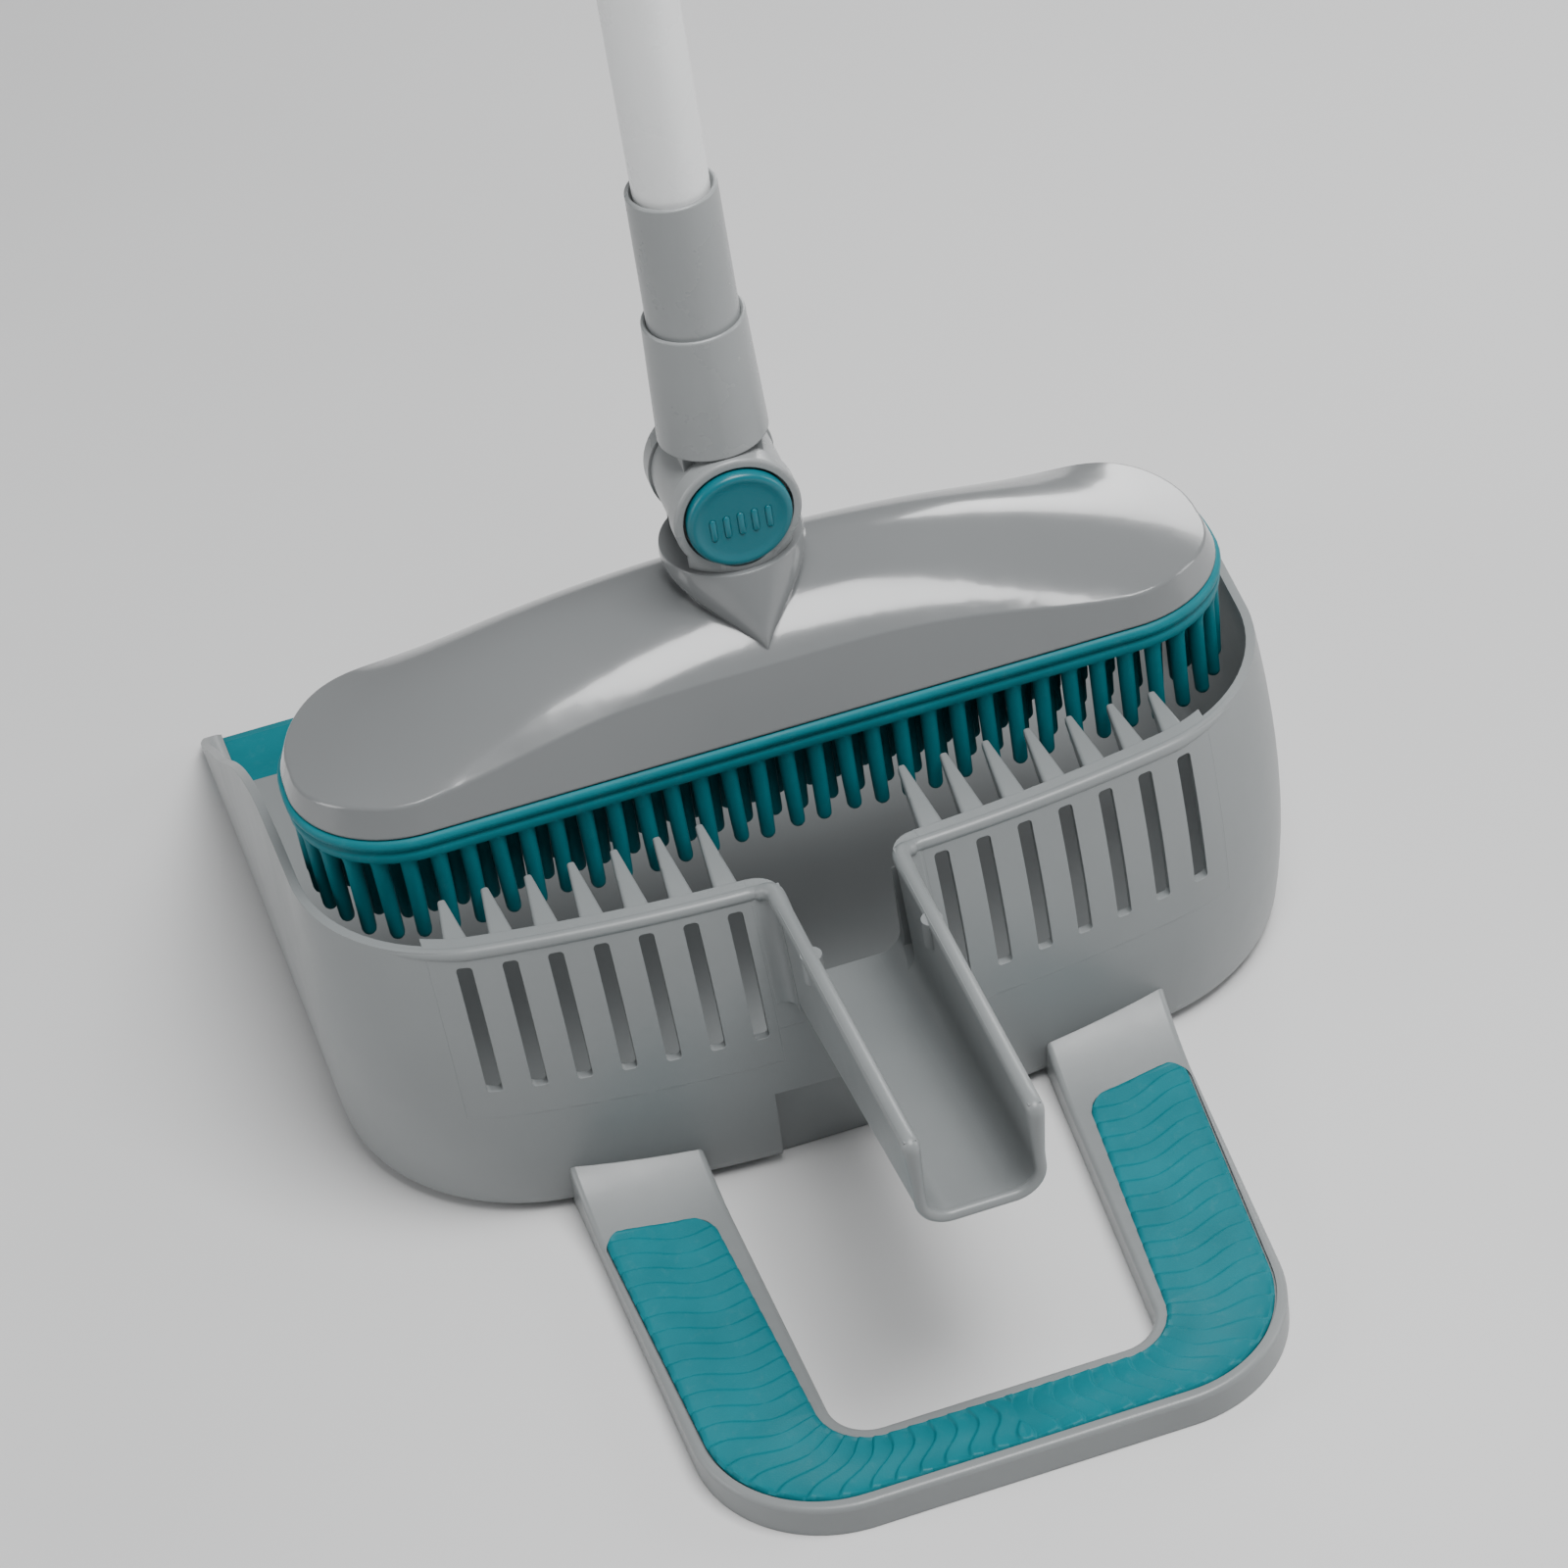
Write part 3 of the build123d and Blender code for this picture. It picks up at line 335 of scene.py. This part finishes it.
def head_loop(inset):
    """Points round the head's plan outline, `inset` inside the collar's outer face."""
    low, high = node_box("bristle_mat")
    cx, cy = (low[0] + high[0]) / 2, (low[1] + high[1]) / 2
    half_x, half_y = (high[0] - low[0]) / 2 - inset, (high[1] - low[1]) / 2 - inset
    radius = max(HEAD_CORNER - inset, 0.02)
    centres = [(cx + sx * (half_x - radius), cy + sy * (half_y - radius))
               for sx, sy in ((1, 1), (-1, 1), (-1, -1), (1, -1))]
    loop = []
    for quarter, centre in enumerate(centres):
        arc = turn(centre, radius, 90 * quarter, 90 * quarter + 90, CORNER_STEPS)
        next_arc = turn(centres[(quarter + 1) % 4], radius, 90 * quarter + 90, 90 * quarter + 180, 1)
        loop += arc[:-1] + straight(arc[-1], next_arc[0], SIDE_STEPS if quarter % 2 == 0 else END_STEPS)
    return loop


def spots_along(loop, count):
    """Evenly spaced points on a closed loop."""
    lengths = [0.0]
    for a, b in zip(loop, loop[1:] + loop[:1]):
        lengths.append(lengths[-1] + hypot(b[0] - a[0], b[1] - a[1]))
    spots, k = [], 0
    for i in range(count):
        want = lengths[-1] * i / count
        while lengths[k + 1] < want:
            k += 1
        t = (want - lengths[k]) / max(lengths[k + 1] - lengths[k], 1e-9)
        a, b = loop[k], loop[(k + 1) % len(loop)]
        spots.append((a[0] + (b[0] - a[0]) * t, a[1] + (b[1] - a[1]) * t))
    return spots


def make_bristle_mat():
    """Rubber collar with a rolled top bead and groove, and rows of round-ended finger bristles."""
    low, high = node_box("bristle_mat")
    top, tip = high[2], low[2]
    base = top - COLLAR_HEIGHT
    # inset from the outer face and height, from the inner lip over the bead to the underside
    profile = [
        (LIP_INSET, top - 4.6), (5.2, top - 0.5), (4.6, top), (2.2, top), (1.1, top - 0.25),
        (0.35, top - 0.9),
        (0.0, top - 1.9), (0.1, top - 2.9), (0.6, top - 3.7), (1.35, top - 4.1), (1.5, top - 4.6),
        (1.2, top - 5.0), (0.75, top - 5.4), (0.6, top - 6.2), (0.65, base + 1.2), (0.95, base + 0.4),
        (1.7, base), (10.0, base), (24.0, base), (MIDDLE_INSET, base),
    ]
    # the plate's upper side, from the middle back to the lip, closes the moulding under the carrier
    profile += [(MIDDLE_INSET, top - PLATE_DROP), (LIP_INSET, top - PLATE_DROP)]
    verts, faces = [], []
    count = len(head_loop(0))
    for ring, (inset, height) in enumerate(profile):
        verts += [(x, y, height) for x, y in head_loop(inset)]
        bridge(faces, ring * count, (ring + 1) % len(profile) * count, count)

    rng = Random(7)
    for inset in BRISTLE_ROWS:
        loop = head_loop(inset)
        length = sum(hypot(b[0] - a[0], b[1] - a[1]) for a, b in zip(loop, loop[1:] + loop[:1]))
        for x, y in spots_along(loop, 2 * round(length / BRISTLE_PITCH / 2)):
            lean_x, lean_y = rng.uniform(-0.7, 0.7), rng.uniform(-0.5, 0.5)
            end = tip + rng.uniform(0.0, 1.6)
            long = base - end
            # radius and share of the way down; the root flares and the tip is a half ball
            rings = [(3.3, -0.02), (2.85, 0.03), (2.6, 0.08), (2.5, 0.35), (2.4, 0.65)]
            rings += [(BRISTLE_TIP * cos(a), 1 - BRISTLE_TIP * (1 - sin(a)) / long)
                      for a in (0.0, 0.45, 0.85, 1.2, 1.45)]
            for index, (radius, share) in enumerate(rings):
                start = len(verts)
                bend = share * share
                for k in range(BRISTLE_SIDES):
                    angle = 2 * pi * k / BRISTLE_SIDES
                    verts.append((x + lean_x * bend + radius * cos(angle),
                                  y + lean_y * bend + radius * sin(angle), base - share * long))
                if index:
                    bridge(faces, start - BRISTLE_SIDES, start, BRISTLE_SIDES)
            faces.append(tuple(range(start, start + BRISTLE_SIDES)))
            root = start - BRISTLE_SIDES * (len(rings) - 1)
            faces.append(tuple(reversed(range(root, root + BRISTLE_SIDES))))
    node = ["bristle_mat"]
    return piece("bristle_mat_fingers", verts, faces, "teal_rubber", "broom_head", node, sharp=40.0)


# ---------------------------------------------------------------- rim bead
def tube(path, radii, sides=16):
    """Closed-ended tube along a path; the cross-section is carried along without twisting."""
    points = [Vector(point) for point in path]
    normal = Vector((0.0, 0.0, 1.0))
    verts, faces = [], []
    for i, point in enumerate(points):
        ahead = points[min(i + 1, len(points) - 1)] - points[max(i - 1, 0)]
        ahead.normalize()
        normal = (normal - ahead * normal.dot(ahead)).normalized()
        across = ahead.cross(normal)
        for k in range(sides):
            angle = 2 * pi * k / sides
            verts.append(point + radii[i] * (cos(angle) * normal + sin(angle) * across))
        if i:
            bridge(faces, i * sides, (i - 1) * sides, sides)
    faces.append(tuple(range(sides)))
    faces.append(tuple(reversed(range(len(verts) - sides, len(verts)))))
    return [tuple(v) for v in verts], faces


# the rear wall's rim: its height, and its arcs seen from above, with angles in degrees
RIM_TOP = 106.7
CORNER_CENTRE, CORNER_RADIUS, CORNER_ARC = (-96.1, 2.1), 56.0, (218, 259.2)
BOW_CENTRE, BOW_RADIUS, BOW_ARC = (0.0, 505.8), 568.8, (259.2, 267.56)
# the turn from the rear wall into the cradle's rim, and how the rim narrows and climbs from there
TURN_CENTRE, TURN_RADIUS = (-24.2, -67.2), 5.0
CRADLE_NARROWS = 1.75
CRADLE_SLOPE, SLOPE_START = 0.132, -64.0
TURN_TOP = 108.7
# the cradle's end, seen from behind: the height of its middle, and the bend up to its rims
END_FLOOR, END_BEND = 91.9, 8.2
END_TURN = 1.0
END_INSET, END_SETBACK = 0.4, 0.3
# radii of the bead where it starts, along the rail, in the turn, along the cradle and round its end
START_RADIUS, RAIL_RADIUS, TURN_BEAD_RADIUS = 1.15, 2.25, 2.75
CRADLE_RADIUS, RIM_END_RADIUS, END_BEAD_RADIUS = 2.35, 2.6, 1.75
BEAD_LIFT, CRADLE_LIFT = 0.25, 0.65


def rail_stretch():
    """The bead from the front of the rim's left corner to the cradle, as (x, y, z, radius)."""
    rail = [(point, CORNER_CENTRE) for point in turn(CORNER_CENTRE, CORNER_RADIUS, *CORNER_ARC, 22)]
    rail += [(point, BOW_CENTRE) for point in turn(BOW_CENTRE, BOW_RADIUS, *BOW_ARC, 34)[1:]]
    stretch = []
    for i, ((x, y), centre) in enumerate(rail):
        inward = Vector((centre[0] - x, centre[1] - y)).normalized()
        swell = min(1.0, i / 20)
        radius = START_RADIUS + (RAIL_RADIUS - START_RADIUS) * swell
        depth = 1.35 - 0.35 * swell
        top = RIM_TOP + BEAD_LIFT * swell
        stretch.append((x + inward.x * depth, y + inward.y * depth, top - radius, radius))
    return stretch


def cradle_stretch(end_y):
    """The bead round the turn and along the cradle's left rim, as (x, y, z, radius)."""
    stretch = []
    for i, (x, y) in enumerate(turn(TURN_CENTRE, TURN_RADIUS, 90, 0, 8)[1:]):
        rise = min(1.0, (i + 1) / 5)
        radius = RAIL_RADIUS + (TURN_BEAD_RADIUS - RAIL_RADIUS) * rise
        stretch.append((x, y, RIM_TOP + BEAD_LIFT + 1.8 * rise - radius, radius))
    steps = 30
    for i in range(1, steps + 1):
        x = TURN_CENTRE[0] + TURN_RADIUS + CRADLE_NARROWS * i / steps
        y = TURN_CENTRE[1] + (end_y + END_TURN - TURN_CENTRE[1]) * i / steps
        after_turn = CRADLE_RADIUS + (TURN_BEAD_RADIUS - CRADLE_RADIUS) / i
        radius = max(after_turn, RAIL_RADIUS + (RIM_END_RADIUS - RAIL_RADIUS) * i / steps)
        top = max(RIM_TOP + CRADLE_SLOPE * (SLOPE_START - y) + CRADLE_LIFT, TURN_TOP)
        stretch.append((x, y, top - radius, radius))
    return stretch


def end_stretch(x, end_y, top):
    """The bead from the rim down and across to the middle of the cradle's end, as (x, y, z, radius)."""
    corner = turn((end_y + END_TURN, top - END_TURN), END_TURN, 90, 180, 4)
    stretch = [(x, y, z, RIM_END_RADIUS) for y, z in corner[1:]]
    side_bottom = END_FLOOR + END_BEND
    for i in range(1, 13):
        z = top - END_TURN + (side_bottom - top + END_TURN) * i / 12
        share = min(1.0, i / 9)
        radius = RIM_END_RADIUS + (END_BEAD_RADIUS - RIM_END_RADIUS) * share
        stretch.append((x + END_INSET * share, end_y + END_SETBACK * share, z, radius))
    bend = turn((x + END_INSET + END_BEND, side_bottom), END_BEND, 180, 270, 10)[1:]
    bend.append((-3.0, END_FLOOR))
    return stretch + [(bend_x, end_y + END_SETBACK, z, END_BEAD_RADIUS) for bend_x, z in bend]


def make_rim_bead():
    """Rounded bead along the comb rails, round the corners, down the cradle's rims and across its end."""
    low, _ = node_box("pole_cradle")
    end_y = low[1] + 0.45
    half = rail_stretch() + cradle_stretch(end_y)
    last_x, _, last_z, _ = half[-1]
    half += end_stretch(last_x, end_y, last_z)
    whole = half + [(-x, y, z, radius) for x, y, z, radius in reversed(half)]
    verts, faces = tube([point[:3] for point in whole], [point[3] for point in whole])
    return piece("rim_bead", verts, faces, "pan_plastic", "dustpan", (), sharp=50.0)


# ---------------------------------------------------------------- foot pad
PAD_SIDE_RADIUS = 38.4
PAD_INNER_RADIUS = 16.6
PAD_END_RADIUS = 7.0
PAD_OUTER_FRONT, PAD_INNER_FRONT = -83.5, -89.5
LEG_WIDTH, BAR_DEPTH = 33.0, 18.4
OUTER_LEAN, INNER_LEAN = 10.0, 8.2
PAD_STEPS = (330, 150, 150)
PAD_COLUMNS = 34
RIDGE_PITCH = 6.6
RIDGE_DEPTH = 1.35
RIDGE_WAVE = 1.9
RIDGE_RISE = 0.14
BORDER_WIDTH, BORDER_DROP = 1.6, 1.3


def pad_edge(start, corner, radius):
    """Left half of one edge of the U-shaped pad, then its mirror, as one list of points."""
    mirrored = (-corner[0], corner[1])
    side_steps, arc_steps, bar_steps = PAD_STEPS
    arc, arc_start, arc_end = rounded_corner(start, corner, mirrored, radius, arc_steps)
    left = straight(start, arc_start, side_steps) + arc + straight(arc_end, (0.0, corner[1]), bar_steps)
    return left + [(0.0, corner[1])] + [(-x, y) for x, y in reversed(left)]


def make_foot_pad():
    """Ribbed anti-slip pad: S-shaped ridges cross its width and follow it round both corners."""
    low, high = node_box("foot_pad")
    outer_corner = (low[0] + OUTER_LEAN, low[1])
    outer = pad_edge((low[0], PAD_OUTER_FRONT), outer_corner, PAD_SIDE_RADIUS)
    leg = low[0] + LEG_WIDTH
    inner = pad_edge((leg, PAD_INNER_FRONT), (leg + INNER_LEAN, low[1] + BAR_DEPTH), PAD_INNER_RADIUS)
    middle = [((a[0] + b[0]) / 2, (a[1] + b[1]) / 2) for a, b in zip(outer, inner)]
    along = [0.0]
    for a, b in zip(middle, middle[1:]):
        along.append(along[-1] + hypot(b[0] - a[0], b[1] - a[1]))
    total = along[-1]
    across = PAD_COLUMNS
    verts, faces = [], []
    for i, (a, b) in enumerate(zip(outer, inner)):
        width = hypot(b[0] - a[0], b[1] - a[1])
        from_end = min(along[i], total - along[i])
        trim = 0.0
        if from_end < PAD_END_RADIUS:
            trim = PAD_END_RADIUS - sqrt(PAD_END_RADIUS**2 - (PAD_END_RADIUS - from_end) ** 2)
        trimmed = width - 2 * trim
        for k in range(across):
            t = k / (across - 1)
            share = (trim + trimmed * t) / width
            x, y = a[0] + (b[0] - a[0]) * share, a[1] + (b[1] - a[1]) * share
            wave = RIDGE_WAVE * sin(2 * pi * t * 1.05 + 0.5)
            place = (from_end + wave) / RIDGE_PITCH % 1.0
            # a ridge falls slowly away from the pad's end, then climbs steeply to the next one
            fall = 1.0 - RIDGE_RISE
            ridge = 1.0 - place if place < fall else RIDGE_RISE + fall * (place - fall) / RIDGE_RISE
            edge = min(t * trimmed, (1 - t) * trimmed, from_end)
            border = min(1.0, edge / BORDER_WIDTH)
            round_off = 1.0 - sqrt(1.0 - (1.0 - border) ** 2)
            height = high[2] - RIDGE_DEPTH * (1.0 - ridge) * border - BORDER_DROP * round_off
            verts.append((x, y, height))
        if i:
            bridge(faces, (i - 1) * across, i * across, across, closed=False)
    # skirt down to the pad's bed, and its underside
    rim = list(range(0, across)) + [i * across + across - 1 for i in range(1, len(outer))]
    last = (len(outer) - 1) * across
    rim += [last + k for k in range(across - 2, -1, -1)] + [i * across for i in range(len(outer) - 2, 0, -1)]
    start = len(verts)
    verts += [(verts[v][0], verts[v][1], low[2]) for v in rim]
    for i, v in enumerate(rim):
        j = (i + 1) % len(rim)
        faces.append((v, start + i, start + j, rim[j]))
    below = {v: start + i for i, v in enumerate(rim)}
    # between the two end rows, a row has only its first and last vertex in the underside
    rows = [[row, row + across - 1] for row in range(0, last + 1, across)]
    rows[0], rows[-1] = list(range(across)), list(range(last, last + across))
    for row, next_row in zip(rows, rows[1:]):
        faces.append(tuple(below[v] for v in row + next_row[::-1]))
    flipped = [tuple(reversed(face)) for face in faces]
    return piece("foot_pad_ribbed", verts, flipped, "teal_rubber", "dustpan", ["foot_pad"], sharp=50.0)


# ---------------------------------------------------------------- push button
BUTTON_CHAMFER = 0.55
BUTTON_BACK = 3.9
STEM_RADIUS = 4.0
RIB_COUNT, RIB_PITCH, RIB_DROP = 5, 4.2, 1.2
# half the width and half the height of a rib, and its depth behind the face, from its root to its top
RIB_LEVELS = ((1.10, 3.95, 0.75), (0.85, 3.7, 0.32), (0.63, 3.48, 0.18))


def make_button():
    """Push button with a finger dish, a rolled rim and five raised grip ribs."""
    low, high = node_box("push_button")
    cx, cz = (low[0] + high[0]) / 2, (low[2] + high[2]) / 2
    radius, face_y, stem_end = (high[0] - low[0]) / 2 - BUTTON_CHAMFER, low[1], high[1] - low[1]
    # distance from the axis and depth behind the face
    profile = [
        (0.0, 0.62), (4.0, 0.60), (8.0, 0.54), (11.0, 0.44), (12.4, 0.30), (13.1, 0.12), (13.6, 0.02),
        (14.2, 0.0), (14.8, 0.10), (15.3, 0.42), (15.6, 0.9), (radius, 1.5), (radius, BUTTON_BACK),
        (STEM_RADIUS, BUTTON_BACK), (STEM_RADIUS, stem_end), (0.0, stem_end),
    ]
    verts, faces, count = [], [], 96
    for r, depth in profile:
        for k in range(count):
            angle = 2 * pi * k / count
            r_here = max(r, 0.01)
            verts.append((cx + r_here * cos(angle), face_y + depth, cz + r_here * sin(angle)))
    for ring in range(len(profile) - 1):
        bridge(faces, ring * count, (ring + 1) * count, count)
    steps = 10
    ring = 2 * (steps + 1)
    for index in range(RIB_COUNT):
        x0 = cx + (index - RIB_COUNT // 2) * RIB_PITCH
        start = len(verts)
        for half, reach, depth in RIB_LEVELS:
            for end in (1, -1):
                for k in range(steps + 1):
                    angle = (pi if end < 0 else 0.0) + pi * k / steps
                    z = cz - RIB_DROP + end * (reach - half) + half * sin(angle)
                    verts.append((x0 + half * cos(angle), face_y + depth, z))
        for level in range(2):
            bridge(faces, start + level * ring, start + (level + 1) * ring, ring)
        faces.append(tuple(range(start + 2 * ring, start + 3 * ring)))
        faces.append(tuple(reversed(range(start, start + ring))))
    return piece("push_button_dished", verts, faces, "teal_plastic", "button", ["push_button"], sharp=40.0)


def make_spring():
    """Return spring behind the button."""
    low, high = node_box("button_spring")
    cx, cz = (low[0] + high[0]) / 2, (low[2] + high[2]) / 2
    wire, turns, steps = 0.45, 6, 36
    coil, thickness = (high[0] - low[0]) / 2 - wire, high[1] - low[1]
    path = []
    for i in range(turns * steps + 1):
        angle = 2 * pi * i / steps
        y = low[1] + wire + (thickness - 2 * wire) * i / (turns * steps)
        path.append((cx + coil * cos(angle), y, cz + coil * sin(angle)))
    verts, faces = tube(path, [wire] * len(path), 10)
    spring = piece("button_spring_coil", verts, faces, "steel", "broom_head", ["button_spring"], sharp=60.0)
    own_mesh(spring)
    return spring


# ---------------------------------------------------------------- hand grip
GRIP_BORE = 9.3
GROOVE_PITCH, GROOVE_DEPTH, GROOVE_HALF = 6.0, 0.7, 1.1
GRIP_RADIUS, GRIP_SWELL, SWELL_LENGTH = 13.85, 0.45, 92
LOWER_CUFF, UPPER_CUFF = 8, 10


def make_grip():
    """Soft grip with ring grooves between two smooth cuffs."""
    low, high = node_box("hand_grip")
    cx, cy = (low[0] + high[0]) / 2, (low[1] + high[1]) / 2
    bottom, top = low[2], high[2]
    grooves = bottom + LOWER_CUFF
    # radius and height, from the bore's lower edge outside to its upper edge
    profile = [(GRIP_BORE, bottom), (12.4, bottom), (13.4, bottom + 0.8), (14.2, bottom + 3), (14.3, grooves)]
    height = grooves
    while height < top - UPPER_CUFF:
        height += 0.5
        swell = GRIP_RADIUS + GRIP_SWELL * cos(2 * pi * (height - grooves) / SWELL_LENGTH)
        place = (height - grooves) % GROOVE_PITCH
        dip = GROOVE_DEPTH * max(0.0, 1 - abs(place - GROOVE_PITCH / 2) / GROOVE_HALF) ** 0.7
        profile.append((swell - dip, height))
    profile += [(14.2, top - 8), (14.1, top - 3), (13.5, top - 0.8), (12.6, top), (GRIP_BORE, top)]
    verts, faces, count = [], [], 72
    for radius, height in profile:
        verts += [(cx + radius * cos(2 * pi * k / count), cy + radius * sin(2 * pi * k / count), height)
                  for k in range(count)]
    for ring in range(len(profile) - 1):
        bridge(faces, ring * count, (ring + 1) * count, count)
    bridge(faces, (len(profile) - 1) * count, 0, count)
    return piece("hand_grip_grooved", verts, faces, "grip_rubber", "upper_handle", ["hand_grip"], sharp=60.0)


# ---------------------------------------------------------------- floor and light
FLOOR_HALF, FLOOR_DROP = 6.0, 0.2 * MM
WORLD_COLOUR, WORLD_STRENGTH = (0.86, 0.88, 0.90, 1.0), 0.26


def make_floor():
    """Pale matt floor, just below the dustpan so that no faces coincide."""
    mesh = bpy.data.meshes.new("floor")
    corners = [(sx * FLOOR_HALF, sy * FLOOR_HALF, -FLOOR_DROP)
               for sx, sy in ((-1, -1), (1, -1), (1, 1), (-1, 1))]
    mesh.from_pydata(corners, [], [(0, 1, 2, 3)])
    s = Surface("pale_floor")
    mottle = s.mix(s.spread(s.noise(0.4, 3.0), 0.0, 1.0), (0.66, 0.66, 0.66, 1), (0.70, 0.70, 0.70, 1))
    s.set(Base_Color=mottle, Roughness=0.8, Specular_IOR_Level=0.2)
    mesh.materials.append(s.material)
    floor = bpy.data.objects.new("floor", mesh)
    bpy.context.scene.collection.objects.link(floor)


def area_light(name, place, target, width, height, watts):
    """A rectangular light at a place, turned towards the target and hidden from the camera."""
    data = bpy.data.lights.new(name, "AREA")
    data.shape = "RECTANGLE"
    data.size, data.size_y, data.energy = width, height, watts
    light = bpy.data.objects.new(name, data)
    aim = Vector(target) - Vector(place)
    light.matrix_world = Matrix.Translation(place) @ aim.to_track_quat("-Z", "Y").to_matrix().to_4x4()
    light.visible_camera = False
    bpy.context.scene.collection.objects.link(light)


def make_lights():
    """Soft studio light: a bank overhead, a bright panel behind on the right, and weak side fills."""
    middle = (0.0, 0.0, 0.1)
    area_light("key", (0.30, -0.50, 1.75), middle, 1.05, 0.80, 42)
    area_light("panel", (0.95, 1.30, 0.62), (0.08, 0.02, 0.15), 0.80, 0.42, 9)
    area_light("left_fill", (-1.7, 0.1, 0.70), middle, 0.7, 0.9, 9)
    area_light("right_fill", (1.7, -0.3, 0.6), middle, 0.7, 0.8, 9)
    world = bpy.data.worlds.new("studio")
    world.use_nodes = True
    background = world.node_tree.nodes["Background"]
    background.inputs["Color"].default_value = WORLD_COLOUR
    background.inputs["Strength"].default_value = WORLD_STRENGTH
    bpy.context.scene.world = world


make_camera()
finish_cad_nodes()
make_bristle_mat()
make_rim_bead()
make_foot_pad()
make_button()
make_spring()
make_grip()
make_floor()
make_lights()
